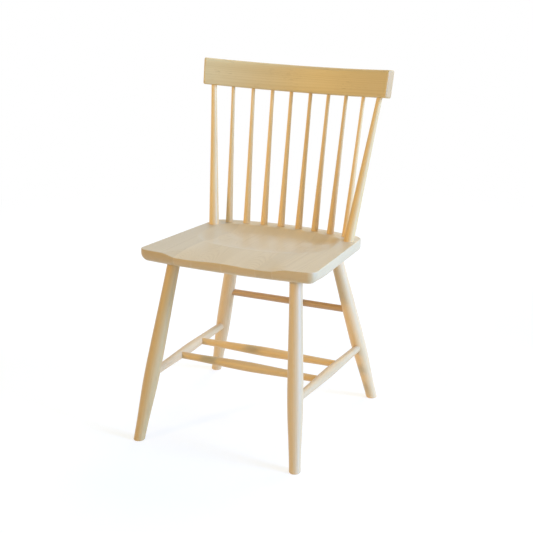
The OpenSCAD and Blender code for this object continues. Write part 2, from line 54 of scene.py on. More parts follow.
LEFT, RIGHT = -1, 1
HANDS = {LEFT: "left", RIGHT: "right"}
UP = Vector((0.0, 0.0, 1.0))
WHITE = (1.0, 1.0, 1.0)
QUARTER = math.pi / 2

# Places of the sticks in the trunk: distances from its pith, the turn about it and the way up it
PITH_DISTANCE, PITH_STEP, PITH_STEPS = 0.07, 0.013, 5
GOLDEN_ANGLE, TRUNK_STEP = 2.39996, 0.61

Number = Union[float, "Field"]
Colour = tuple[float, float, float]
Pair = tuple[float, float]
Blend = TypeVar("Blend", float, Vector)


def clamp(t: float) -> float:
    """Returns t held between 0 and 1."""
    return min(1.0, max(0.0, t))


def ease(t: float) -> float:
    """Returns a smooth step from 0 to 1, the same as in the part's source."""
    t = clamp(t)
    return t * t * (3.0 - 2.0 * t)


def between(a: Blend, b: Blend, t: float) -> Blend:
    """Returns the value that lies the share t of the way from a to b."""
    return a + (b - a) * t


def srgb(*channels: int) -> Colour:
    """Turns a colour of 0 to 255 a channel into the linear values that a shader takes.

    Args:
        channels: Red, green and blue as they show on screen.

    Returns:
        The three linear channels.
    """
    shares = (channel / 255.0 for channel in channels)
    return tuple(c / 12.92 if c <= 0.04045 else ((c + 0.055) / 1.055) ** 2.4 for c in shares)


def sign(operation: str, swap: bool = False) -> Callable[["Field", Number], "Field"]:
    """Makes the method for one arithmetic sign.

    Args:
        operation: Name of the maths node's operation.
        swap: True where the other side comes first.

    Returns:
        The method, which adds the node.
    """

    def method(self: "Field", other: Number) -> "Field":
        """Adds the sign's node.

        Args:
            other: The other side of the sign.

        Returns:
            The result.
        """
        pair = (other, self) if swap else (self, other)
        vectors = any(isinstance(side, Field) and side.is_vector for side in pair)
        return (self.sheet.vector if vectors else self.sheet.math)(operation, *pair)

    return method


class Field:
    """A node socket that takes part in arithmetic, so that a rule in nodes reads as a formula."""

    def __init__(self, sheet: "Sheet", socket: bpy.types.NodeSocket) -> None:
        """Keeps the sheet that the socket's node stands on."""
        self.sheet = sheet
        self.socket = socket

    @property
    def is_vector(self) -> bool:
        """Whether the socket carries a vector."""
        return self.socket.type == "VECTOR"

    __add__ = sign("ADD")
    __radd__ = sign("ADD", swap=True)
    __sub__ = sign("SUBTRACT")
    __rsub__ = sign("SUBTRACT", swap=True)
    __truediv__ = sign("DIVIDE")
    __pow__ = sign("POWER")
    _times = sign("MULTIPLY")

    def __mul__(self, other: Number) -> "Field":
        """Multiplies, or scales a vector by a number.

        Args:
            other: The other factor.

        Returns:
            The product.
        """
        if self.is_vector and not (isinstance(other, Field) and other.is_vector):
            return self.sheet.get("ShaderNodeVectorMath", {0: self, "Scale": other}, operation="SCALE")
        return self._times(other)

    __rmul__ = __mul__


@dataclass(frozen=True)
class Figure:
    """A noise in the wood: waves a metre across, through and along the grain, octaves, and a shift."""

    stretch: tuple[float, float, float]
    detail: float
    shift: float
    shift_ratios: tuple[float, float, float] = (1.0, 0.7, 1.3)

    @property
    def offset(self) -> list[float]:
        """Shift of the noise, which keeps it apart from the others."""
        return [self.shift * ratio for ratio in self.shift_ratios]


class Sheet:
    """Adds nodes to one tree and wires them by the names of their sockets."""

    def __init__(self, tree: bpy.types.NodeTree) -> None:
        """Keeps the tree."""
        self.tree = tree

    @classmethod
    def of(cls, owner: Union[bpy.types.Material, bpy.types.World]) -> "Sheet":
        """Empties the tree of a material or a world.

        Args:
            owner: The material or the world.

        Returns:
            The sheet of its tree.
        """
        owner.use_nodes = True
        owner.node_tree.nodes.clear()
        return cls(owner.node_tree)

    def put(self, socket: bpy.types.NodeSocket, value: object) -> None:
        """Feeds an input socket.

        Args:
            socket: The socket.
            value: A field, a node whose first output counts, or a plain value.
        """
        if isinstance(value, bpy.types.Node):
            value = self.out(value)
        if isinstance(value, Field):
            self.tree.links.new(value.socket, socket)
        else:
            socket.default_value = (*value, 1.0) if socket.type == "RGBA" else value

    def add(self, kind: str, inputs: Optional[dict] = None, **settings: object) -> bpy.types.Node:
        """Adds a node.

        Args:
            kind: The node's type.
            inputs: Values, fields or nodes by socket name or place.
            settings: The node's own properties.

        Returns:
            The node.
        """
        node = self.tree.nodes.new(kind)
        for name, value in settings.items():
            setattr(node, name, value)
        for name, value in (inputs or {}).items():
            self.put(node.inputs[name], value)
        return node

    def out(self, node: bpy.types.Node, socket: Union[int, str] = 0) -> Field:
        """Returns one of a node's outputs as a field."""
        return Field(self, node.outputs[socket])

    def get(self, kind: str, inputs: Optional[dict] = None, **settings: object) -> Field:
        """Adds a node, as add does, and returns its first output."""
        return self.out(self.add(kind, inputs, **settings))

    def math(self, operation: str, *values: Number) -> Field:
        """Returns the result of a maths node on numbers."""
        return self.get("ShaderNodeMath", dict(enumerate(values)), operation=operation)

    def vector(self, operation: str, *values: object) -> Field:
        """Returns the vector that a vector maths node gives."""
        return self.get("ShaderNodeVectorMath", dict(enumerate(values)), operation=operation)

    def measure(self, operation: str, *values: object) -> Field:
        """Returns the number that a vector maths node gives, such as a length or a dot product."""
        node = self.add("ShaderNodeVectorMath", dict(enumerate(values)), operation=operation)
        return self.out(node, "Value")

    def parts(self, vector: Field) -> list[Field]:
        """Returns the three components of a vector."""
        node = self.add("ShaderNodeSeparateXYZ", {0: vector})
        return [self.out(node, i) for i in range(3)]

    def clamped(self, value: Number) -> Field:
        """Returns a number held between 0 and 1."""
        return self.math("MAXIMUM", self.math("MINIMUM", value, 1.0), 0.0)

    def ease(self, value: Number) -> Field:
        """Returns a smooth step from 0 to 1."""
        t = self.clamped(value)
        return t * t * (3.0 - 2.0 * t)

    def between(self, a: Number, b: Number, t: Number) -> Field:
        """Returns the value that lies the share t of the way from a to b."""
        return self.math("MULTIPLY_ADD", t, self.math("SUBTRACT", b, a), a)

    def noise(self, place: Field, figure: Figure) -> Field:
        """Returns a noise at a place in the wood, about 0.5 on average."""
        spot = self.vector("MULTIPLY_ADD", place, figure.stretch, figure.offset)
        return self.get("ShaderNodeTexNoise", {"Vector": spot, "Scale": 1.0, "Detail": figure.detail})

    def mixed(self, factor: Number, a: object, b: object) -> Field:
        """Returns one colour mixed with another."""
        return self.out(self.add("ShaderNodeMix", {0: factor, 6: a, 7: b}, data_type="RGBA"), 2)


@dataclass(frozen=True)
class Maple:
    """Finish of clear maple under a satin lacquer, with lengths in metres.

    A ring darkens slowly, fades quickly, and shows in patches only. A contrast is a factor and what is
    taken off after it. A window is a start and a width.
    """

    name: str
    early: Colour
    late: Colour
    end: Colour
    fleck: Colour
    ring_pitch: float = 0.0031
    ring_strength: float = 0.5
    ring_wander: float = 2.4
    ring_rise: Pair = (0.35, 0.52)
    ring_fall: float = 0.13
    ring_contrast: Pair = (2.6, 0.7)
    streak_strength: float = 0.4
    streak_contrast: Pair = (2.4, 0.7)
    fleck_strength: float = 0.5
    fleck_window: Pair = (0.64, 0.08)
    patch_window: Pair = (0.42, 0.2)
    wander: Figure = Figure((9.0, 9.0, 1.6), 1.5, 3.0)
    ring_patches: Figure = Figure((70.0, 70.0, 3.0), 1.0, 9.0)
    streaks: Figure = Figure((26.0, 26.0, 1.1), 2.0, 13.0)
    dashes: Figure = Figure((900.0, 900.0, 60.0), 1.0, 21.0)
    fleck_patches: Figure = Figure((40.0, 40.0, 12.0), 1.0, 5.0)
    fibres: Figure = Figure((1300.0, 1300.0, 26.0), 3.0, 1.0)
    fibre_light: float = 0.1
    fibre_roughness: float = 0.2
    fibre_strength: float = 0.22
    fibre_depth: float = 0.0002
    roughness: float = 0.52
    coat: float = 0.8
    coat_roughness: float = 0.44

    def ring_share(self, sheet: Sheet, place: Field) -> Field:
        """Draws the growth rings, thin lines at uneven distances.

        Args:
            sheet: The material's sheet.
            place: Place in the wood.

        Returns:
            Their darkness.
        """
        wander = sheet.noise(place, self.wander) - 0.5
        x, y, _ = sheet.parts(place)
        from_pith = sheet.math("SQRT", x * x + y * y)
        step = sheet.math("FRACT", from_pith / self.ring_pitch + wander * self.ring_wander)
        start, width = self.ring_rise
        rise = sheet.ease((step - start) / width)
        fall = sheet.ease((1.0 - step) / self.ring_fall)
        factor, taken = self.ring_contrast
        return rise * fall * sheet.ease(sheet.noise(place, self.ring_patches) * factor - taken)

    def fleck_share(self, sheet: Sheet, place: Field) -> Field:
        """Draws short dark dashes along the grain, in patches.

        Args:
            sheet: The material's sheet.
            place: Place in the wood.

        Returns:
            Their darkness.
        """
        windows = ((self.dashes, self.fleck_window), (self.fleck_patches, self.patch_window))
        dashes, patches = (
            sheet.ease((sheet.noise(place, figure) - start) / width) for figure, (start, width) in windows
        )
        return dashes * patches

    def colour(self, sheet: Sheet, place: Field, tone: Field, end: Field, fibre: Field) -> Field:
        """Builds the colour of the wood.

        Args:
            sheet: The material's sheet.
            place: Place in the wood.
            tone: Lightness of the piece, about 0.
            end: Share of end grain.
            fibre: Fine noise along the fibres, about 0.

        Returns:
            The colour.
        """
        factor, taken = self.streak_contrast
        streaks = sheet.ease(sheet.noise(place, self.streaks) * factor - taken) * self.streak_strength
        wood = sheet.mixed(streaks, self.early, self.late)
        wood = sheet.mixed(self.ring_share(sheet, place) * self.ring_strength, wood, self.late)
        wood = sheet.mixed(self.fleck_share(sheet, place) * self.fleck_strength, wood, self.fleck)
        wood = sheet.mixed(end, wood, self.end)
        light = 1.0 + tone + fibre * self.fibre_light
        return sheet.get("ShaderNodeVectorMath", {0: wood, "Scale": light}, operation="SCALE")

    def material(self) -> bpy.types.Material:
        """Builds the finish once.

        Returns:
            The material, which reads the attributes of place in the wood, tone and end grain.
        """
        kept = bpy.data.materials.get(self.name)
        if kept:
            return kept
        material = bpy.data.materials.new(self.name)
        sheet = Sheet.of(material)
        place, tone, end = (
            sheet.out(sheet.add("ShaderNodeAttribute", attribute_name=name), socket)
            for name, socket in ((GRAIN, "Vector"), (TONE, "Fac"), (END_GRAIN, "Fac"))
        )
        height = sheet.noise(place, self.fibres)
        fibre = height - 0.5
        bump = {"Strength": self.fibre_strength, "Distance": self.fibre_depth, "Height": height}
        shader = sheet.add("ShaderNodeBsdfPrincipled", {
            "Base Color": self.colour(sheet, place, tone, end, fibre),
            "Roughness": self.roughness + fibre * self.fibre_roughness,
            "Normal": sheet.add("ShaderNodeBump", bump),
            "Coat Weight": self.coat,
            "Coat Roughness": self.coat_roughness,
        })
        sheet.add("ShaderNodeOutputMaterial", {"Surface": shader})
        return material


SEAT_MAPLE = Maple(
    "maple_seat", srgb(216, 194, 156), srgb(188, 160, 116), srgb(202, 170, 122), srgb(156, 122, 82),
    ring_pitch=0.0011, ring_strength=0.34, ring_wander=3.6, streak_strength=0.06, fleck_strength=0.25,
)
STICK_MAPLE = Maple(
    "maple_stick", srgb(222, 192, 148), srgb(198, 162, 112), srgb(202, 168, 120), srgb(166, 128, 84),
    ring_pitch=0.0036, ring_strength=0.35, ring_wander=1.2, fleck_strength=0.25,
    wander=Figure((9.0, 9.0, 0.9), 1.5, 3.0),
)
# A warmer copy of the stick maple. On the back sticks it is partly their own warmer wood and partly painted
# warm light from the front-left lamp; on the front-left leg and the cross stretchers it is painted warm
# light.
WARM_WOOD_AND_PAINTED_LIGHT_MAPLE = replace(
    STICK_MAPLE, name="maple_spindle",
    early=srgb(234, 198, 138), late=srgb(212, 168, 104), end=srgb(202, 172, 126), fleck=srgb(172, 130, 82),
)
# A darker, redder copy of the stick maple, which the rear stretcher takes.
DARK_RED_MAPLE = replace(
    STICK_MAPLE, name="maple_heart", fleck_strength=0.3,
    early=srgb(204, 164, 120), late=srgb(174, 132, 88), end=srgb(184, 146, 104), fleck=srgb(146, 106, 70),
)
CREST_MAPLE = Maple(
    "maple_crest", srgb(222, 196, 142), srgb(194, 162, 106), srgb(216, 174, 118), srgb(156, 118, 74),
    ring_pitch=0.0026, ring_strength=0.35, ring_wander=3.0, fleck_strength=0.45,
)


@dataclass(frozen=True)
class SeatSizes:
    """Sizes of the plank, as in the part's source, in metres and degrees, with an eased upper edge."""

    height: float = 0.4585
    pitch: float = 3.5
    width: float = 0.4445
    depth: float = 0.418
    taper: float = 3.3
    thickness: float = 0.030
    front_arc: float = 1.550
    rear_arc: float = 0.550
    front_corner: float = 0.022
    rear_corner: float = 0.034
    front_underside_round: float = 0.0205
    side_underside_round: float = 0.0115
    round_change_start: float = 0.020
    round_change_end: float = 0.110
    joints: tuple[float, ...] = (-0.123, -0.077, 0.0, 0.083, 0.122)
    glue_line: float = 0.0001
    top_arris: float = 0.0016


@dataclass(frozen=True)
class ScoopSizes:
    """Sizes of the bowl and the thigh hollow, as in the part's source, in metres."""

    bowl_depth: float = 0.013
    bowl_half_width: float = 0.168
    bowl_middle: float = 0.250
    bowl_rear_reach: float = 0.1235
    bowl_front_reach: float = 0.115
    square_ratio: float = 2.5
    rear_square_ratio: float = 9.0
    wall_ratio: float = 0.7
    rear_wall_ratio: float = 0.35
    crisp_ratio: float = 0.85
    rear_crisp_ratio: float = 0.5
    rear_bend: float = 0.550
    thigh_depth: float = 0.007
    thigh_half_width: float = 0.160
    thigh_side_slope: float = 0.043
    thigh_narrowing: float = 0.35
    thigh_reach: float = 0.130
    thigh_fade: float = 0.125
    pommel_rise: float = 0.0035
    pommel_half_width: float = 0.100

    def depth_at(self, x: float, v: float) -> float:
        """Depth of the scoop at a place on the seat.

        Args:
            x: Distance from the centre line.
            v: Distance from the middle of the front edge.

        Returns:
            The depth under the seat's flat top.
        """
        rearward = ease((v - self.bowl_middle) / self.bowl_rear_reach * 2.0)
        bent = v + rearward * x * x / (2.0 * self.rear_bend)
        reach = self.bowl_rear_reach if v > self.bowl_middle else self.bowl_front_reach
        square = between(self.square_ratio, self.rear_square_ratio, rearward)
        across = (abs(x) / self.bowl_half_width) ** square
        back = (abs(bent - self.bowl_middle) / reach) ** square
        edge = (across + back) ** (1.0 / square)
        inward = clamp((1.0 - edge) / between(self.wall_ratio, self.rear_wall_ratio, rearward))
        crisp = between(self.crisp_ratio, self.rear_crisp_ratio, rearward)
        bowl = self.bowl_depth * between(ease(inward), 1.0 - (1.0 - inward) ** 2, crisp)
        half_width = self.thigh_half_width - self.thigh_narrowing * max(v, 0.0)
        side = ease((half_width - abs(x)) / self.thigh_side_slope)
        rise = self.pommel_rise * ease(1.0 - abs(x) / self.pommel_half_width)
        thigh = (self.thigh_depth - rise) * side * clamp((self.thigh_reach - v) / self.thigh_fade) ** 2
        return math.hypot(bowl, thigh)


@dataclass(frozen=True)
class CrestSizes:
    """Sizes of the bent rail, as in the part's source, in metres and degrees, with a softer rear and ends."""

    length: float = 0.483
    height: float = 0.066
    thickness: float = 0.0215
    bow: float = 0.055
    tilt: float = 13.9
    base_height: float = 0.780
    setback: float = 0.3965
    end_flare: float = 2.5
    front_round: float = 0.009
    edge_round: float = 0.003
    rear_round: float = 0.0046
    end_round: float = 0.0036

    @property
    def radius(self) -> float:
        """Radius of the front face."""
        return ((self.length / 2) ** 2 + self.bow**2) / (2 * self.bow)

    @property
    def end_angle(self) -> float:
        """Angle from the centre line to an end, in radians."""
        return math.asin(self.length / 2 / self.radius)


@dataclass(frozen=True)
class LegSizes:
    """Sizes of the legs, as in the part's source, in metres, with eased feet.

    A pair is for a front leg and a rear leg.
    """

    x: Pair = (0.151, 0.1265)
    inset: Pair = (0.077, 0.3545)
    feet_apart: Pair = (0.403, 0.4465)
    feet_behind: Pair = (-0.0425, 0.4145)
    top_diameter: float = 0.030
    swell_diameter: float = 0.0365
    foot_diameter: float = 0.0265
    swell_height: float = 0.160
    tenon_diameter: float = 0.024
    tenon_cover: float = 0.012
    shoulder_gap: float = 0.0001
    foot_edge: float = 0.0018


class Plan:
    """Places that several sub-assemblies share, in the frame's coordinates."""

    def __init__(self, seat: SeatSizes, crest: CrestSizes, legs: LegSizes) -> None:
        """Works out where the seat's front edge lies in the frame.

        Args:
            seat: Sizes of the seat.
            crest: Sizes of the crest rail.
            legs: Sizes of the legs.
        """
        self.seat = seat
        self.crest = crest
        self.legs = legs
        self.depth_middle = 0.0
        top = self.on_seat(legs.x[0], legs.inset[0])
        foot = Vector((legs.feet_apart[0] / 2, legs.feet_behind[0], 0.0))
        lean = (top - foot).normalized()
        front = foot.y - legs.foot_diameter / 2 * math.hypot(lean.y, lean.z) / lean.z
        r = crest.edge_round
        rear = self.on_crest(0.0, crest.bow + crest.thickness - r, crest.height - r).y + r
        self.depth_middle = (front + rear) / 2

    @property
    def seat_normal(self) -> Vector:
        """Direction at right angles to the seat's top, upwards."""
        pitch = math.radians(self.seat.pitch)
        return Vector((0.0, math.sin(pitch), math.cos(pitch)))

    def _leaning(self, start: Pair, angle: float, x: float, back: float, up: float) -> Vector:
        """Place in a frame that leans back.

        Args:
            start: The frame's distance behind the seat's front edge, and its height.
            angle: Its lean in degrees.
            x: Distance across from the centre line.
            back: Distance back in the frame.
            up: Distance up in the frame.

        Returns:
            The place.
        """
        lean = math.radians(angle)
        y = start[0] + back * math.cos(lean) + up * math.sin(lean) - self.depth_middle
        return Vector((x, y, start[1] - back * math.sin(lean) + up * math.cos(lean)))

    def on_seat(self, x: float, v: float, h: float = 0.0) -> Vector:
        """Returns the place at x across, v back from the front edge and h above the seat's flat top."""
        return self._leaning((0.0, self.seat.height), self.seat.pitch, x, v, h)

    def on_crest(self, x: float, n: float, s: float) -> Vector:
        """Returns the place at x across, n behind the front face's chord and s up the rail's slope."""
        return self._leaning((self.crest.setback, self.crest.base_height), self.crest.tilt, x, n, s)

    def crest_foot(self, x: float) -> Vector:
        """Finds where a stick meets the crest rail.

        Args:
            x: Distance across from the centre line.

        Returns:
            The place on the rail's lower edge, in the middle of its thickness.
        """
        middle = self.crest.radius + self.crest.thickness / 2
        n = self.crest.bow - self.crest.radius + math.sqrt(middle**2 - x * x)
        return self.on_crest(x, n, 0.0)


class Turning(Enum):
    """Rules for the thickness of a turned stick along its length."""

    LEG = "leg"
    STRETCHER = "stretcher"
    BACK_STICK = "back_stick"


class TurnedStick:
    """A Geometry Nodes tree that turns a stick between two places after one of the rules."""

    INPUTS = {
        "Vector": ("From", "To", "From Face", "To Face", "Wood Place"),
        "Int": ("Rings", "Sides"),
        "Float": ("Tone",),
        "Material": ("Material",),
    }
    RULE_INPUTS = {
        Turning.LEG: (
            "Top Diameter", "Swell Diameter", "Foot Diameter", "Swell Height", "Top Height",
            "Foot Edge", "Tenon Diameter", "Tenon Length",
        ),
        Turning.STRETCHER: ("End Diameter", "Middle Diameter", "Start Depth", "End Depth"),
        Turning.BACK_STICK: ("Foot Diameter", "Top Diameter", "Taper", "Start Depth", "End Depth"),
    }
    # The last rings of a leg: its shoulder, and the two at the end of its tenon
    TENON_RINGS = 3
    # Crowding of a leg's rings towards its foot, which has a small round edge
    RING_CROWDING = 0.6

    def __init__(self, rule: Turning) -> None:
        """Builds the tree.

        Args:
            rule: Rule for the stick's thickness.
        """
        self.rule = rule
        self.tree = bpy.data.node_groups.new("turned_" + rule.value, "GeometryNodeTree")
        face = self.tree.interface
        face.new_socket("Geometry", in_out="OUTPUT", socket_type="NodeSocketGeometry")
        names = [(kind, name) for kind, group in self.INPUTS.items() for name in group]
        for kind, name in names + [("Float", name) for name in self.RULE_INPUTS[rule]]:
            face.new_socket(name, in_out="INPUT", socket_type="NodeSocket" + kind)
        self.sheet = Sheet(self.tree)
        self.given = self.sheet.add("NodeGroupInput")
        self._build()

    def value(self, name: str) -> Field:
        """Returns one of the tree's inputs."""
        return self.sheet.out(self.given, name)

    def _build(self) -> None:
        """Adds the nodes that shape the stick and store its wood attributes."""
        sheet = self.sheet
        start, end = self.value("From"), self.value("To")
        rod = sheet.add("GeometryNodeMeshCylinder", {
            "Vertices": self.value("Sides"), "Side Segments": self.value("Rings"),
            "Radius": 1.0, "Depth": 1.0,
        })
        x, y, z = sheet.parts(sheet.get("GeometryNodeInputPosition"))
        length = sheet.measure("DISTANCE", start, end)
        axis = sheet.vector("NORMALIZE", end - start)
        level = sheet.vector("NORMALIZE", sheet.vector("CROSS_PRODUCT", axis, UP))
        side = level * x + sheet.vector("CROSS_PRODUCT", axis, level) * y
        radius, far, share, slanted = self._profile(z + 0.5, length, axis)
        slants = (self._slant(side, axis, self.value(name), radius) for name in ("From Face", "To Face"))
        along = far + sheet.between(*slants, share) * slanted
        place = start + axis * along + side * radius
        spot = sheet.get("ShaderNodeCombineXYZ", {0: x * radius, 1: y * radius, 2: along})
        caps = sheet.math("MAXIMUM", sheet.out(rod, "Top"), sheet.out(rod, "Bottom"))
        stored = sheet.out(rod, "Mesh")
        for name, value, kind, domain in (
            (GRAIN, spot + self.value("Wood Place"), "FLOAT_VECTOR", "POINT"),
            (TONE, self.value("Tone"), "FLOAT", "POINT"),
            (END_GRAIN, caps, "FLOAT", "FACE"),
        ):
            given = {"Geometry": stored, "Name": name}
            node = sheet.add("GeometryNodeStoreNamedAttribute", given, data_type=kind, domain=domain)
            sheet.put(next(s for s in node.inputs if s.name == "Value" and s.enabled), value)
            stored = sheet.out(node)
        moved = sheet.add("GeometryNodeSetPosition", {"Geometry": stored, "Position": place})
        smooth = sheet.add("GeometryNodeSetShadeSmooth", {
            "Geometry": moved, "Shade Smooth": sheet.out(rod, "Side"),
        })
        real = sheet.add("GeometryNodeRealizeInstances", {"Geometry": smooth})
        dressed = {"Geometry": real, "Material": self.value("Material")}
        sheet.add("NodeGroupOutput", {"Geometry": sheet.add("GeometryNodeSetMaterial", dressed)})

    def _slant(self, side: Field, axis: Field, normal: Field, radius: Field) -> Field:
        """Returns how far a point of the rim moves along the axis to lie on a slanted end face."""
        across, along = (self.sheet.measure("DOT_PRODUCT", way, normal) for way in (side, axis))
        return radius * across / along * -1.0

    def _profile(self, t: Field, length: Field, axis: Field) -> tuple[Field, Field, Field, Number]:
        """Adds the rule's nodes.

        Args:
            t: Share of the rings passed, from the start.
            length: Length of the stick.
            axis: Direction of the stick.

        Returns:
            The radius, the distance along the axis, the share by which the far face's slant counts, and
            the share by which any slant counts.
        """
        if self.rule is Turning.LEG:
            return self._leg_profile(t, length, axis)
        far = t * length
        depth = self.value("Start Depth")
        span = length - depth - self.value("End Depth")
        shape = self._stretcher_radius if self.rule is Turning.STRETCHER else self._back_stick_radius
        return shape(far - depth, span), far, t, 1.0

    def _stretcher_radius(self, d: Field, span: Field) -> Field:
        """Adds the rule of a stretcher, which swells between its sockets.

        Args:
            d: Distance past the first socket's mouth.
            span: Distance between the mouths.

        Returns:
            The radius.
        """
        sheet = self.sheet
        thin, thick = self.value("End Diameter"), self.value("Middle Diameter")
        nearer = sheet.math("MINIMUM", d - thin, span - d - thin)
        swell = sheet.ease(2.0 * sheet.clamped(nearer / span))
        return sheet.between(thin, thick, swell) * 0.5

    def _back_stick_radius(self, d: Field, span: Field) -> Field:
        """Adds the rule of a post or spindle, which thins upwards as a power.

        Args:
            d: Distance above the seat's top.
            span: Distance from there to the crest rail.

        Returns:
            The radius.
        """
        thick, thin = self.value("Foot Diameter"), self.value("Top Diameter")
        t = self.sheet.clamped(d / span)
        return (thin + (thick - thin) * (1.0 - t) ** self.value("Taper")) * 0.5

    def _leg_profile(self, t: Field, length: Field, axis: Field) -> tuple[Field, Field, Field, Field]:
        """Adds the rule of a leg, which has a swell, an eased foot and a tenon.

        Args:
            t: Share of the rings passed, from the foot.
            length: Length of the leg up to its shoulder.
            axis: Direction of the leg.

        Returns:
            The same four as _profile.
        """
        sheet = self.sheet
        rings = self.value("Rings")
        body_rings = rings - float(self.TENON_RINGS)
        ring = sheet.math("ROUND", t * rings)
        share = sheet.math("MINIMUM", ring / body_rings, 1.0)
        share = share * share * (1.0 + self.RING_CROWDING - self.RING_CROWDING * share)
        beyond = ring - body_rings
        on_tenon, past_shoulder, at_end = (
            sheet.math("GREATER_THAN", beyond, passed + 0.5) for passed in range(self.TENON_RINGS)
        )
        edge = self.value("Foot Edge")
        along = share * length
        height = along * sheet.parts(axis)[2]
        swell_height = self.value("Swell Height")
        above = sheet.math("GREATER_THAN", height, swell_height)
        end = self.value("Top Height") * above
        thin = sheet.between(self.value("Foot Diameter"), self.value("Top Diameter"), above)
        swell = sheet.ease((height - end) / (swell_height - end))
        short = sheet.math("MAXIMUM", edge - along, 0.0)
        eased = edge - sheet.math("SQRT", sheet.math("MAXIMUM", edge * edge - short * short, 0.0))
        body = sheet.between(thin, self.value("Swell Diameter"), swell) * 0.5 - eased
        tenon = self.value("Tenon Diameter") * 0.5 - at_end * edge
        radius = sheet.between(body, tenon, on_tenon)
        far = along + past_shoulder * (self.value("Tenon Length") - edge) + at_end * edge
        return radius, far, share, 1.0 - past_shoulder

    def make(self, name: str, settings: dict[str, object]) -> bpy.types.Object:
        """Turns one stick and leaves it as a plain mesh.

        Args:
            name: The piece's name.
            settings: Values of the tree's inputs by name.

        Returns:
            The piece, at the origin.
        """
        holder = linked(name + "_nodes", bpy.data.meshes.new(name + "_nodes"))
        modifier = holder.modifiers.new("turned", "NODES")
        modifier.node_group = self.tree
        for item in self.tree.interface.items_tree:
            if item.item_type == "SOCKET" and item.in_out == "INPUT":
                modifier[item.identifier] = settings[item.name]
        graph = bpy.context.evaluated_depsgraph_get()
        mesh = bpy.data.meshes.new_from_object(holder.evaluated_get(graph))
        mesh.name = name
        holder.modifiers.clear()
        bpy.data.objects.remove(holder)
        return linked(name, mesh)


def linked(name: str, data: bpy.types.ID) -> bpy.types.Object:
    """Adds an object to the scene, at the origin.

    Args:
        name: Its name.
        data: Its mesh, camera or lamp.

    Returns:
        The object.
    """
    thing = bpy.data.objects.new(name, data)
    bpy.context.scene.collection.objects.link(thing)
    return thing


def placed(piece: bpy.types.Object, node: str, slot: str) -> None:
    """Lets a piece stand for its CAD node.

    Args:
        piece: The finished piece.
        node: The CAD node that it replaces.
        slot: Not used.
    """
    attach(piece, BODY)
    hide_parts(node)
    log.info("%s: %d faces", piece.name, len(piece.data.polygons))


def wood_place(index: int) -> Vector:
    """Place of a piece in the trunk, so that no two pieces show the same rings.

    Args:
        index: Number of the piece.

    Returns:
        A shift from the pith, in metres.
    """
    away = PITH_DISTANCE + PITH_STEP * (index % PITH_STEPS)
    angle = GOLDEN_ANGLE * index
    return Vector((away * math.cos(angle), away * math.sin(angle), TRUNK_STEP * index))


@dataclass(frozen=True)
class Stick:
    """A stick to turn: its CAD node, its material slot, and its number, for its wood and tone."""

    node: str
    slot: str
    index: int
    finish: Maple
    rings: int


@dataclass
class Sticks:
    """Turns the sticks of one sub-assembly."""

    plan: Plan
    trees: dict[Turning, TurnedStick]
    tones: tuple[float, ...] = ()
    sides: int = 64
    first_wood: int = 0

    def turn(self, rule: Turning, stick: Stick, settings: dict[str, object]) -> None:
        """Turns one stick and lets it stand for its CAD node.

        Args:
            rule: Rule for its thickness.
            stick: What it is.
            settings: The tree's other inputs by name.
        """
        piece = self.trees[rule].make("wood_" + stick.node, {
            "Wood Place": wood_place(stick.index + self.first_wood), "Tone": self.tones[stick.index],
            "Rings": stick.rings, "Sides": self.sides, "Material": stick.finish.material(), **settings,
        })
        placed(piece, stick.node, stick.slot)

    def turn_socketed(
        self, rule: Turning, stick: Stick, ends: Sequence[Vector], depths: Sequence[float], **sizes: float
    ) -> None:
        """Turns a stick that runs on beyond two places, into its sockets.

        Args:
            rule: Rule for its thickness.
            stick: What it is.
            ends: The two places.
            depths: How far it passes each of them.
            sizes: The rule's own inputs, with low lines for blanks.
        """
        run = (ends[1] - ends[0]).normalized()
        self.turn(rule, stick, {
            "From": ends[0] - run * depths[0], "To": ends[1] + run * depths[1],
            "From Face": run, "To Face": run, "Start Depth": depths[0], "End Depth": depths[1],
            **{name.replace("_", " ").title(): size for name, size in sizes.items()},
        })


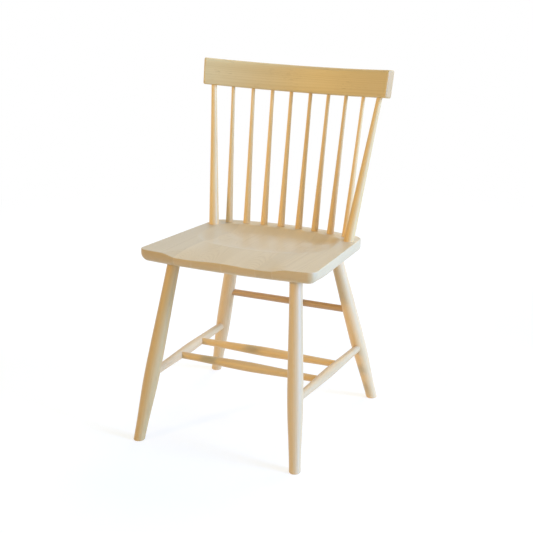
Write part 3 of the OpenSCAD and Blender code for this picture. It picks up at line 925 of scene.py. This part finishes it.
@dataclass
class Undercarriage(Sticks):
    """The four legs and the five stretchers."""

    finish: Maple = STICK_MAPLE
    dark_finish: Maple = DARK_RED_MAPLE
    # Warmer maple for the front-left leg and the cross stretchers: painted warm light from the front-left
    # lamp.
    warm_finish: Maple = WARM_WOOD_AND_PAINTED_LIGHT_MAPLE
    side_heights: Pair = (0.156, 0.1405)
    side_diameters: Pair = (0.019, 0.0245)
    cross_ratios: Pair = (0.362, 0.646)
    cross_diameters: Pair = (0.017, 0.024)
    rear_height: float = 0.242
    rear_diameters: Pair = (0.0168, 0.0176)
    leg_socket_depth: float = 0.022
    side_socket_depth: float = 0.013
    leg_rings: int = 72
    stretcher_rings: int = 48
    # Lightness of each piece, in the order they are turned: partly its own tone, partly painted light and
    # shade that evens out how the lamps fall on it.
    tones: tuple[float, ...] = (-0.21, -0.03, 0.05, 0.17, 0.07, -0.09, -0.1, -0.01, -0.14)

    def axis(self, rear: bool, side: int) -> tuple[Vector, Vector]:
        """Axis of a leg.

        Args:
            rear: True for a rear leg.
            side: 1 for the right side, -1 for the left.

        Returns:
            Its middle at the seat's top, and at the floor.
        """
        legs = self.plan.legs
        top = self.plan.on_seat(side * legs.x[rear], legs.inset[rear])
        behind = legs.feet_behind[rear] - self.plan.depth_middle
        return top, Vector((side * legs.feet_apart[rear] / 2, behind, 0.0))

    def at_height(self, rear: bool, side: int, height: float) -> Vector:
        """Returns the place on a leg's axis at a height above the floor."""
        top, foot = self.axis(rear, side)
        return between(foot, top, height / top.z)

    def past_axis(self, height: float) -> float:
        """Works out how far a stretcher passes the axis of a leg, to the bottom of its socket.

        Args:
            height: Height of the joint above the floor.

        Returns:
            The distance.
        """
        legs, seat = self.plan.legs, self.plan.seat
        above = height > legs.swell_height
        far, thin = (seat.height - seat.thickness, legs.top_diameter) if above else (0.0, legs.foot_diameter)
        share = ease((height - far) / (legs.swell_height - far))
        return self.leg_socket_depth - between(thin, legs.swell_diameter, share) / 2

    def under_seat(self, top: Vector, foot: Vector, depth: float) -> Vector:
        """Returns the place on a leg's axis at a depth under the seat's top."""
        down = (foot - top).normalized()
        return top + down * (depth / abs(down.dot(self.plan.seat_normal)))

    def build_leg(self, rear: bool, side: int, index: int) -> None:
        """Turns one leg, with its foot cut to the floor and its shoulder to the seat.

        Args:
            rear: True for a rear leg.
            side: 1 for the right side, -1 for the left.
            index: Number of the stick.
        """
        legs, seat = self.plan.legs, self.plan.seat
        top, foot = self.axis(rear, side)
        shoulder = self.under_seat(top, foot, seat.thickness + legs.shoulder_gap)
        tenon_end = self.under_seat(top, foot, legs.tenon_cover)
        # The front-left leg, nearest the warm front-left lamp, takes the warmer maple: painted warm light.
        finish = self.finish if rear or side == RIGHT else self.warm_finish
        node = f"leg_{'rear' if rear else 'front'}_{HANDS[side]}"
        self.turn(Turning.LEG, Stick(node, "legs", index, finish, self.leg_rings), {
            "From": foot, "To": shoulder, "From Face": UP, "To Face": self.plan.seat_normal,
            "Top Diameter": legs.top_diameter, "Swell Diameter": legs.swell_diameter,
            "Foot Diameter": legs.foot_diameter, "Swell Height": legs.swell_height,
            "Top Height": seat.height - seat.thickness, "Foot Edge": legs.foot_edge,
            "Tenon Diameter": legs.tenon_diameter, "Tenon Length": (tenon_end - shoulder).length,
        })

    def build(self) -> None:
        """Turns the legs, the side stretchers, the cross stretchers and the rear stretcher."""
        numbers = itertools.count()
        for rear in (False, True):
            for side in HANDS:
                self.build_leg(rear, side, next(numbers))

        def stretcher(
            name: str, ends: Sequence[Vector], depths: Sequence[float], diameters: Pair, finish: Maple
        ) -> None:
            """Turns the next stretcher.

            Args:
                name: Its CAD node.
                ends: Its ends, on the axes of what it joins.
                depths: How far it passes them.
                diameters: Its diameters at an end and in the middle.
                finish: Its finish.
            """
            stick = Stick(name, "stretchers", next(numbers), finish, self.stretcher_rings)
            thin, thick = diameters
            self.turn_socketed(
                Turning.STRETCHER, stick, ends, depths, end_diameter=thin, middle_diameter=thick
            )

        rails = {}
        depths = [self.past_axis(height) for height in self.side_heights]
        for side, hand in HANDS.items():
            rails[side] = [self.at_height(rear, side, self.side_heights[rear]) for rear in (False, True)]
            stretcher("side_stretcher_" + hand, rails[side], depths, self.side_diameters, self.finish)
        depths = [self.side_socket_depth - self.side_diameters[1] / 2] * 2
        # The cross stretchers take the warmer maple: painted warm light from the front-left lamp.
        for end, ratio in zip(("front", "rear"), self.cross_ratios):
            ends = [between(*rails[side], ratio) for side in (RIGHT, LEFT)]
            stretcher("cross_stretcher_" + end, ends, depths, self.cross_diameters, self.warm_finish)
        ends = [self.at_height(True, side, self.rear_height) for side in (RIGHT, LEFT)]
        depths = [self.past_axis(self.rear_height)] * 2
        stretcher("rear_stretcher", ends, depths, self.rear_diameters, self.dark_finish)


@dataclass
class Back(Sticks):
    """The two posts and the eight spindles."""

    # The back sticks' warmer maple: partly their own wood, partly painted warm light.
    finish: Maple = WARM_WOOD_AND_PAINTED_LIGHT_MAPLE
    spindles_a_side: int = 4
    post_x: float = 0.182
    post_inset: float = 0.331
    post_diameters: Pair = (0.0245, 0.0138)
    post_taper: float = 1.2
    spindle_inset: float = 0.0235
    spindle_foot_gap: float = 0.048
    spindle_foot_pitch: float = 0.0456
    spindle_diameters: Pair = (0.0178, 0.0091)
    spindle_taper: float = 1.75
    spindle_top_gap: float = 0.0516
    spindle_top_pitch: float = 0.0493
    post_top_pitch: float = 0.046
    socket_depths: Pair = (0.019, 0.024)
    rings: int = 40
    sides: int = 48
    first_wood: int = 11
    # Lightness of each spindle from the viewer's left, then of the posts: partly its own tone, partly painted
    # light and shade that evens out how the lamps fall on it.
    tones: tuple[float, ...] = (0.0, 0.06, 0.15, 0.11, 0.05, 0.02, -0.01, 0.05, 0.05, -0.01)

    def top_x(self, i: int) -> float:
        """Returns the distance of spindle i from the centre line, at the crest rail."""
        return self.spindle_top_gap / 2 + self.spindle_top_pitch * i

    def spindle_foot(self, i: int) -> Vector:
        """Place of a spindle's foot on the line inside the rear edge.

        Args:
            i: 0 for the spindle beside the centre line, 3 for the outer one.

        Returns:
            The place on the right side, at the seat's top.
        """
        seat = self.plan.seat
        radius = seat.rear_arc - self.spindle_inset
        angle = (self.spindle_foot_gap / 2 + self.spindle_foot_pitch * i) / radius
        middle = seat.depth - seat.rear_arc
        return self.plan.on_seat(radius * math.sin(angle), middle + radius * math.cos(angle))

    def build_stick(self, node: str, index: int, ends: Sequence[Vector], sizes: Pair, taper: float) -> None:
        """Turns one post or spindle.

        Args:
            node: The CAD node's name.
            index: Number of the stick.
            ends: Its middle at the seat's top and at the crest rail's lower edge.
            sizes: Its diameters at those places.
            taper: Power of its thinning.
        """
        stick = Stick(node, "back_sticks", index, self.finish, self.rings)
        self.turn_socketed(
            Turning.BACK_STICK, stick, ends, self.socket_depths,
            foot_diameter=sizes[0], top_diameter=sizes[1], taper=taper,
        )

    def build(self) -> None:
        """Turns the spindles from the viewer's left to right, then the posts."""
        count = self.spindles_a_side
        for k in range(2 * count):
            side, i = (RIGHT, k - count) if k >= count else (LEFT, count - 1 - k)
            mirror = Vector((side, 1.0, 1.0))
            ends = [self.spindle_foot(i) * mirror, self.plan.crest_foot(self.top_x(i)) * mirror]
            self.build_stick(f"spindle_{k + 1}", k, ends, self.spindle_diameters, self.spindle_taper)
        top_x = self.top_x(count - 1) + self.post_top_pitch
        for index, (side, hand) in enumerate(HANDS.items(), start=2 * count):
            foot = self.plan.on_seat(side * self.post_x, self.post_inset)
            ends = [foot, self.plan.crest_foot(side * top_x)]
            self.build_stick("back_post_" + hand, index, ends, self.post_diameters, self.post_taper)


class WoodMesh:
    """A mesh under construction that keeps the wood's attributes at its points."""

    def __init__(self, mesh: bmesh.types.BMesh) -> None:
        """Adds the attributes.

        Args:
            mesh: The mesh, with or without points.
        """
        self.mesh = mesh
        self.grain = mesh.verts.layers.float_vector.new(GRAIN)
        self.tone = mesh.verts.layers.float.new(TONE)
        self.end = mesh.verts.layers.float.new(END_GRAIN)

    def mark(self, vert: bmesh.types.BMVert, spot: Vector, tone: float, end: float) -> None:
        """Sets the attributes of a point.

        Args:
            vert: The point.
            spot: Its place in the wood.
            tone: The tone of its piece.
            end: Its share of end grain.
        """
        vert[self.grain] = spot
        vert[self.tone] = tone
        vert[self.end] = end

    def finished(self, name: str, finish: Maple) -> bpy.types.Object:
        """Turns the mesh into a piece.

        Args:
            name: The piece's name.
            finish: Its finish.

        Returns:
            The piece.
        """
        data = bpy.data.meshes.new(name)
        self.mesh.to_mesh(data)
        self.mesh.free()
        data.materials.append(finish.material())
        return linked(name, data)


def skin(mesh: bmesh.types.BMesh, rows: Sequence[Sequence[bmesh.types.BMVert]]) -> None:
    """Joins rows of points with faces.

    Args:
        mesh: The mesh of the points.
        rows: The rows, each of which runs once round the form.
    """
    for near, far in zip(rows, rows[1:]):
        for i in range(len(near)):
            j = (i + 1) % len(near)
            mesh.faces.new((near[i], near[j], far[j], far[i]))


class EdgePoint(NamedTuple):
    """A point of a flat outline with the direction that faces out of the wood."""

    x: float
    y: float
    out_x: float
    out_y: float

    @classmethod
    def arc(cls, middle: Sequence[float], r: float, turn: Pair, steps: int) -> list["EdgePoint"]:
        """Works out an arc.

        Args:
            middle: Its middle.
            r: Its radius.
            turn: Its first and last angles.
            steps: Count of its steps.

        Returns:
            Its points, with both ends.
        """
        angles = (between(*turn, i / steps) for i in range(steps + 1))
        ways = ((math.cos(angle), math.sin(angle)) for angle in angles)
        return [cls(middle[0] + r * x, middle[1] + r * y, x, y) for x, y in ways]

    def line_to(self, end: "EdgePoint", steps: int) -> list["EdgePoint"]:
        """Returns this point and the points of a straight line up to an end, without that end."""
        shares = (i / steps for i in range(steps))
        return [EdgePoint(*(between(a, b, t) for a, b in zip(self, end))) for t in shares]

    def inside(self, inset: float) -> Pair:
        """Returns the place that lies inset from the edge."""
        return self.x - inset * self.out_x, self.y - inset * self.out_y


@dataclass
class Seat:
    """The plank: six boards with a shared scoop, cut apart at their glue lines."""

    plan: Plan
    scoop: ScoopSizes = ScoopSizes()
    finish: Maple = SEAT_MAPLE
    long_steps: int = 40
    side_steps: int = 44
    corner_steps: int = 14
    arris_steps: int = 4
    round_steps: int = 10
    top_rings: int = 96
    under_rings: int = 5
    hub: Pair = (0.0415, 0.209)
    # Lightness of each board, from the viewer's left: the boards differ as glued-up boards do, and the first
    # board's darker tone is also painted shade, which takes back the stronger sheen on that side of the seat.
    tones: tuple[float, ...] = (-0.14, -0.04, -0.03, -0.01, -0.06, -0.02)
    pith_depths: tuple[float, ...] = (-0.16, -0.13, -0.18, -0.15, -0.12, -0.17)
    pith_sides: tuple[float, ...] = (0.03, -0.02, -0.012, 0.02, 0.03, -0.02)
    board_pitch: float = 0.9
    end_window: Pair = (0.45, 0.4)
    sharp_angle: float = 45.0

    def corner_middle(self, arc_v: float, arc_r: float, r: float, way: int) -> Vector:
        """Middle of the corner arc that touches a side and a long arc.

        Args:
            arc_v: Depth of the long arc's middle.
            arc_r: Radius of the long arc.
            r: Radius of the corner.
            way: -1 for the front corner, 1 for the rear one.

        Returns:
            The middle as x and v.
        """
        taper = math.radians(self.plan.seat.taper)
        up = Vector((-math.sin(taper), math.cos(taper)))
        half = self.plan.seat.width / 2
        start = Vector((half - r * math.cos(taper), -r * math.sin(taper) - arc_v))
        b = start.dot(up)
        c = start.dot(start) - (arc_r - r) ** 2
        return Vector((0.0, arc_v)) + start + up * (-b + way * math.sqrt(b * b - c))

    def outline(self) -> list[EdgePoint]:
        """Works out the seat's outline, seen from above.

        Returns:
            The points, from the front's middle round the right side and back on the left.
        """
        seat = self.plan.seat
        taper = math.radians(seat.taper)
        rear_v = seat.depth - seat.rear_arc
        front = self.corner_middle(seat.front_arc, seat.front_arc, seat.front_corner, -1)
        rear = self.corner_middle(rear_v, seat.rear_arc, seat.rear_corner, 1)
        front_angle = math.atan2(front.x, seat.front_arc - front.y)
        rear_angle = math.atan2(rear.x, rear.y - rear_v)
        half_step = 0.5 / (self.long_steps + 0.5)
        front_turn = (front_angle * half_step - QUARTER, front_angle - QUARTER)
        rear_turn = (QUARTER - rear_angle, QUARTER - rear_angle * half_step)
        points = EdgePoint.arc((0.0, seat.front_arc), seat.front_arc, front_turn, self.long_steps)
        points += EdgePoint.arc(front, seat.front_corner, (front_turn[1], taper), self.corner_steps)[1:]
        corner = EdgePoint.arc(rear, seat.rear_corner, (taper, rear_turn[0]), self.corner_steps)
        points += points[-1].line_to(corner[0], self.side_steps)[1:] + corner
        points += EdgePoint.arc((0.0, rear_v), seat.rear_arc, rear_turn, self.long_steps)[1:]
        return points + [EdgePoint(-p.x, p.y, -p.out_x, p.out_y) for p in reversed(points)]

    def round_at(self, v: float) -> float:
        """Works out the rounding of the lower edge, which is larger along the front.

        Args:
            v: Distance from the middle of the front edge.

        Returns:
            Its radius.
        """
        seat = self.plan.seat
        change = (v - seat.round_change_start) / (seat.round_change_end - seat.round_change_start)
        return between(seat.front_underside_round, seat.side_underside_round, ease(change))

    def on_top(self, x: float, v: float, drop: float = 0.0) -> Vector:
        """Returns a place on the scooped top, or under it by a drop, as x, v and height."""
        return Vector((x, v, -self.scoop.depth_at(x, v) - drop))

    def rings(self) -> list[list[Vector]]:
        """Works out the plank's surface as rings about the hub.

        Returns:
            Rings of places as x, v and height, from beside the top's hub to beside the underside's.
        """
        seat = self.plan.seat
        arris = seat.top_arris
        edge = [(p, self.round_at(p.y)) for p in self.outline()]
        hub = Vector(self.hub)

        def rounding(k: int, steps: int) -> Pair:
            """Returns the shares of its radius by which a rounding lies inward and down or up."""
            angle = QUARTER * k / steps
            return 1.0 - math.cos(angle), 1.0 - math.sin(angle)

        made = [
            [self.on_top(*between(hub, Vector(p.inside(arris)), k / self.top_rings)) for p, _ in edge]
            for k in range(1, self.top_rings + 1)
        ]
        for k in reversed(range(self.arris_steps)):
            inward, down = rounding(k, self.arris_steps)
            made.append([self.on_top(*p.inside(arris * inward), arris * down) for p, _ in edge])
        for k in range(self.round_steps + 1):
            inward, up = rounding(k, self.round_steps)
            made.append([Vector((*p.inside(r * inward), r * up - seat.thickness)) for p, r in edge])
        rim, centre = made[-1], Vector((*self.hub, -seat.thickness))
        made += [[between(p, centre, k / self.under_rings) for p in rim] for k in range(1, self.under_rings)]
        return made

    def plank(self) -> bmesh.types.BMesh:
        """Builds the whole plank.

        Returns:
            A closed mesh in the seat's own coordinates.
        """
        mesh = bmesh.new()
        rows = [[mesh.verts.new(p) for p in ring] for ring in self.rings()]
        skin(mesh, rows)
        upper = mesh.verts.new(self.on_top(*self.hub))
        lower = mesh.verts.new((*self.hub, -self.plan.seat.thickness))
        for hub, row in ((upper, rows[0]), (lower, rows[-1])):
            for here, there in zip(row, row[1:] + row[:1]):
                mesh.faces.new((hub, here, there))
        return mesh

    def cut(self, plank: bmesh.types.BMesh, x: float, keep: int) -> None:
        """Cuts the plank at a joint and closes the cut.

        Args:
            plank: The mesh, in the seat's coordinates.
            x: Place of the cut.
            keep: 1 keeps what lies right of it, -1 what lies left.
        """
        everything = list(plank.verts) + list(plank.edges) + list(plank.faces)
        result = bmesh.ops.bisect_plane(
            plank, geom=everything, plane_co=(x, 0.0, 0.0), plane_no=(keep, 0.0, 0.0), clear_inner=True
        )
        edges = [e for e in result["geom_cut"] if isinstance(e, bmesh.types.BMEdge)]
        bmesh.ops.edgeloop_fill(plank, edges=edges)

    def board(self, number: int, plank: bmesh.types.BMesh) -> bpy.types.Object:
        """Makes one board.

        Args:
            number: 0 to 5, from the viewer's left.
            plank: The whole plank.

        Returns:
            The board, dressed.
        """
        seat = self.plan.seat
        mesh = plank.copy()
        bounds = (-seat.width / 2, *seat.joints, seat.width / 2)
        if number > 0:
            self.cut(mesh, bounds[number] + seat.glue_line / 2, RIGHT)
        if number < len(seat.joints):
            self.cut(mesh, bounds[number + 1] - seat.glue_line / 2, LEFT)
        bmesh.ops.recalc_face_normals(mesh, faces=list(mesh.faces))
        mesh.normal_update()
        wood = WoodMesh(mesh)
        pith = Vector((self.pith_sides[number], self.pith_depths[number], self.board_pitch * (number + 1)))
        middle = (bounds[number] + bounds[number + 1]) / 2
        start, width = self.end_window
        for p in mesh.verts:
            x, v, h = p.co
            end = ease((abs(p.normal.y) - start) / width)
            wood.mark(p, Vector((x - middle, h, v)) - pith, self.tones[number], end)
            p.co = self.plan.on_seat(x, v, h)
        for face in mesh.faces:
            face.smooth = True
        piece = wood.finished(f"wood_seat_board_{number + 1}", self.finish)
        piece.data.set_sharp_from_angle(angle=math.radians(self.sharp_angle))
        return piece

    def build(self) -> None:
        """Makes the six boards."""
        plank = self.plank()
        for number in range(len(self.plan.seat.joints) + 1):
            placed(self.board(number, plank), f"seat_board_{number + 1}", "seat_boards")
        plank.free()


@dataclass
class CrestRail:
    """The bent rail, with a full round on its upper front edge."""

    plan: Plan
    finish: Maple = CREST_MAPLE
    stations: int = 96
    corner_steps: int = 6
    end_steps: int = 5
    flat_steps: int = 8
    pith: Vector = Vector((-0.02, -0.09, 3.3))
    end_gain: float = 1.4

    def section(self) -> list[EdgePoint]:
        """Works out the rail's section as thickness and height.

        Returns:
            The points, from the lower front corner over the rear, with extra ones on the long flats, which
            keep the bend smooth.
        """
        crest = self.plan.crest
        sharp, soft, full = crest.edge_round, crest.rear_round, crest.front_round
        wide, high = crest.thickness, crest.height
        corners = (
            (sharp, sharp, sharp), (wide - soft, soft, soft),
            (wide - soft, high - soft, soft), (full, high - full, full),
        )
        points = []
        for quarter, (*middle, r) in enumerate(corners, start=2):
            turn = (QUARTER * quarter, QUARTER * (quarter + 1))
            points += EdgePoint.arc(middle, r, turn, self.corner_steps)
        filled = []
        for p, q in zip(points, points[1:] + points[:1]):
            is_long = math.dist(p[:2], q[:2]) > crest.thickness / 2
            filled += p.line_to(q, self.flat_steps if is_long else 1)
        return filled

    def build(self) -> None:
        """Makes the rail from rows of points, whose first and last ones round its ends."""
        crest = self.plan.crest
        section = self.section()
        turns = [QUARTER * k / self.end_steps for k in range(self.end_steps, 0, -1)]
        ends = [(crest.end_round * (1.0 - math.sin(a)), crest.end_round * (1.0 - math.cos(a))) for a in turns]
        places = [(1.0, *end) for end in ends]
        places += [(1.0 - 2.0 * k / self.stations, crest.end_round, 0.0) for k in range(self.stations + 1)]
        places += [(-1.0, *end) for end in reversed(ends)]
        mesh = bmesh.new()
        wood = WoodMesh(mesh)
        rows = []
        for u, back, inset in places:
            row = []
            for n, s in (point.inside(inset) for point in section):
                r = crest.radius + n
                lean = (s - crest.height / 2) * math.tan(math.radians(crest.end_flare))
                angle = u * (crest.end_angle + (lean - back) / r)
                depth = crest.bow - crest.radius + r * math.cos(angle)
                vert = mesh.verts.new(self.plan.on_crest(r * math.sin(angle), depth, s))
                spot = Vector((s, n, crest.radius * angle)) - self.pith
                wood.mark(vert, spot, 0.0, ease(inset / crest.end_round * self.end_gain))
                row.append(vert)
            rows.append(row)
        skin(mesh, rows)
        mesh.faces.new(rows[0])
        mesh.faces.new(list(reversed(rows[-1])))
        bmesh.ops.recalc_face_normals(mesh, faces=list(mesh.faces))
        for face in mesh.faces:
            face.smooth = len(face.verts) == 4
        placed(wood.finished("wood_crest_rail", self.finish), "crest_rail", "crest_rail")


@dataclass(frozen=True)
class Lamp:
    """A distant lamp, with its direction and its spread in degrees. A wide spread softens its shadows."""

    name: str
    azimuth: float
    elevation: float
    colour: Colour
    strength: float
    spread: float

    def direction(self) -> Vector:
        """Works out the direction of the lamp.

        Returns:
            The direction from the chair towards it.
        """
        azimuth, elevation = math.radians(self.azimuth), math.radians(self.elevation)
        level = math.cos(elevation)
        return Vector((level * math.cos(azimuth), level * math.sin(azimuth), math.sin(elevation)))


@dataclass
class Studio:
    """The floor, the lights and the camera at the photograph's viewing angle."""

    camera_place: Vector = Vector((1.1332, -2.4824, 1.2905))
    camera_target: Vector = Vector((0.0289, -0.0289, 0.3961))
    lens: float = 80.67
    sensor: float = 36.0
    clip_end: float = 60.0
    floor_size: float = 16.0
    floor_colour: Colour = (0.92, 0.92, 0.92)
    floor_bounce: Colour = (0.80, 0.70, 0.54)
    floor_glow: float = 0.62
    glow_strength: float = 1.17
    fade_start: float = 0.75
    fade_length: float = 1.5
    lamps: tuple[Lamp, ...] = (
        Lamp("key", 5.0, 24.0, (0.353, 0.516, 1.0), 3.43, 24.0),
        Lamp("low_key", -5.0, 6.0, (0.2, 0.51, 1.0), 1.83, 20.0),
        Lamp("warm", -121.5, 22.0, (1.0, 0.6, 0.12), 1.0, 4.0),
        Lamp("back", 80.0, 45.0, (1.0, 0.8, 0.42), 0.875, 30.0),
    )
    lamp_distance: float = 4.0
    lamp_target: Vector = Vector((0.0, 0.0, 0.4))
    ambient_colour: Colour = (0.78, 0.953, 1.0)
    ambient_strength: float = 0.511
    gloss_colour: Colour = (0.8, 0.53, 0.24)
    backdrop_colour: Colour = (0.42, 1.12, 1.7)
    backdrop_side: Vector = Vector((0.2, 0.98, 0.0))
    backdrop_fade: float = 0.6

    def aimed(self, data: bpy.types.ID, place: Vector, target: Vector) -> bpy.types.Object:
        """Puts up a camera or a lamp.

        Args:
            data: The camera's or the lamp's own data.
            place: Where it stands.
            target: Where it points.

        Returns:
            The camera or the lamp.
        """
        thing = linked(data.name, data)
        thing.location = place
        thing.rotation_euler = (target - place).to_track_quat("-Z", "Y").to_euler()
        return thing

    def camera(self) -> None:
        """Makes the camera."""
        data = bpy.data.cameras.new("camera")
        data.sensor_width = self.sensor
        data.lens = self.lens
        data.clip_end = self.clip_end
        bpy.context.scene.camera = self.aimed(data, self.camera_place, self.camera_target)

    def light(self, lamp: Lamp) -> None:
        """Makes a lamp.

        Args:
            lamp: What it is like.
        """
        data = bpy.data.lights.new(lamp.name, "SUN")
        data.color = lamp.colour
        data.energy = lamp.strength
        data.angle = math.radians(lamp.spread)
        self.aimed(data, self.lamp_target + lamp.direction() * self.lamp_distance, self.lamp_target)

    def shown(self, sheet: Sheet, hidden: bpy.types.Node, seen: bpy.types.Node) -> bpy.types.Node:
        """Shows one shader directly, in a gloss and through glass, and lights the chair with another.

        Args:
            sheet: The sheet of both shaders.
            hidden: The shader that lights the chair.
            seen: The shader that shows.

        Returns:
            The mix of both.
        """
        rays = sheet.add("ShaderNodeLightPath")
        share = sheet.math("MAXIMUM", sheet.out(rays, "Is Camera Ray"), sheet.out(rays, "Is Glossy Ray"))
        share = sheet.math("MAXIMUM", share, sheet.out(rays, "Is Transmission Ray"))
        return sheet.add("ShaderNodeMixShader", {0: share, 1: hidden, 2: seen})

    def world(self) -> None:
        """Lights the room softly, shows white to the camera, and a warm room with a backdrop to a gloss."""
        world = bpy.data.worlds.new("studio")
        sheet = Sheet.of(world)

        def light(colour: Colour, strength: Number = 1.0) -> bpy.types.Node:
            """Returns an even light."""
            return sheet.add("ShaderNodeBackground", {"Color": colour, "Strength": strength})

        way = sheet.out(sheet.add("ShaderNodeTexCoord"), "Generated")
        low = 1.0 - sheet.ease(sheet.math("ABSOLUTE", sheet.parts(way)[2]) / self.backdrop_fade)
        behind = low * sheet.ease(sheet.measure("DOT_PRODUCT", way, self.backdrop_side))
        backdrop = light(self.backdrop_colour, behind)
        sheen = sheet.add("ShaderNodeAddShader", {0: light(self.gloss_colour), 1: backdrop})
        glossy = sheet.out(sheet.add("ShaderNodeLightPath"), "Is Glossy Ray")
        seen = sheet.add("ShaderNodeMixShader", {0: glossy, 1: light(WHITE), 2: sheen})
        soft = light(self.ambient_colour, self.ambient_strength)
        sheet.add("ShaderNodeOutputWorld", {"Surface": self.shown(sheet, soft, seen)})
        bpy.context.scene.world = world

    def floor_material(self) -> bpy.types.Material:
        """Builds pale paper that keeps the shadow, turns white far from the chair and reflects little.

        Returns:
            The material.
        """
        material = bpy.data.materials.new("floor_paper")
        sheet = Sheet.of(material)
        place = sheet.out(sheet.add("ShaderNodeTexCoord"), "Object")
        away = sheet.ease((sheet.measure("LENGTH", place) - self.fade_start) / self.fade_length)
        paper = sheet.add("ShaderNodeBsdfDiffuse", {"Color": self.floor_colour})
        bounce = sheet.add("ShaderNodeBsdfDiffuse", {"Color": self.floor_bounce})
        strength = sheet.between(self.glow_strength, 1.0, away)
        glow = sheet.add("ShaderNodeEmission", {"Color": WHITE, "Strength": strength})
        share = sheet.between(self.floor_glow, 1.0, away)
        seen = sheet.add("ShaderNodeMixShader", {0: share, 1: paper, 2: glow})
        sheet.add("ShaderNodeOutputMaterial", {"Surface": self.shown(sheet, bounce, seen)})
        return material

    def floor(self) -> None:
        """Makes the plain pale floor."""
        half = self.floor_size / 2
        mesh = bpy.data.meshes.new("floor")
        corners = [(-half, -half, 0.0), (half, -half, 0.0), (half, half, 0.0), (-half, half, 0.0)]
        mesh.from_pydata(corners, [], [(0, 1, 2, 3)])
        mesh.materials.append(self.floor_material())
        linked("floor", mesh)

    def build(self) -> None:
        """Makes the whole studio."""
        bpy.context.scene.view_settings.view_transform = "Standard"
        self.camera()
        for lamp in self.lamps:
            self.light(lamp)
        self.world()
        self.floor()


def main() -> None:
    """Builds the chair and its studio."""
    logging.basicConfig(level=logging.INFO, format="%(message)s")
    plan = Plan(SeatSizes(), CrestSizes(), LegSizes())
    trees = {rule: TurnedStick(rule) for rule in Turning}
    Undercarriage(plan, trees).build()
    Back(plan, trees).build()
    Seat(plan).build()
    CrestRail(plan).build()
    Studio().build()


if __name__ == "__main__":
    main()
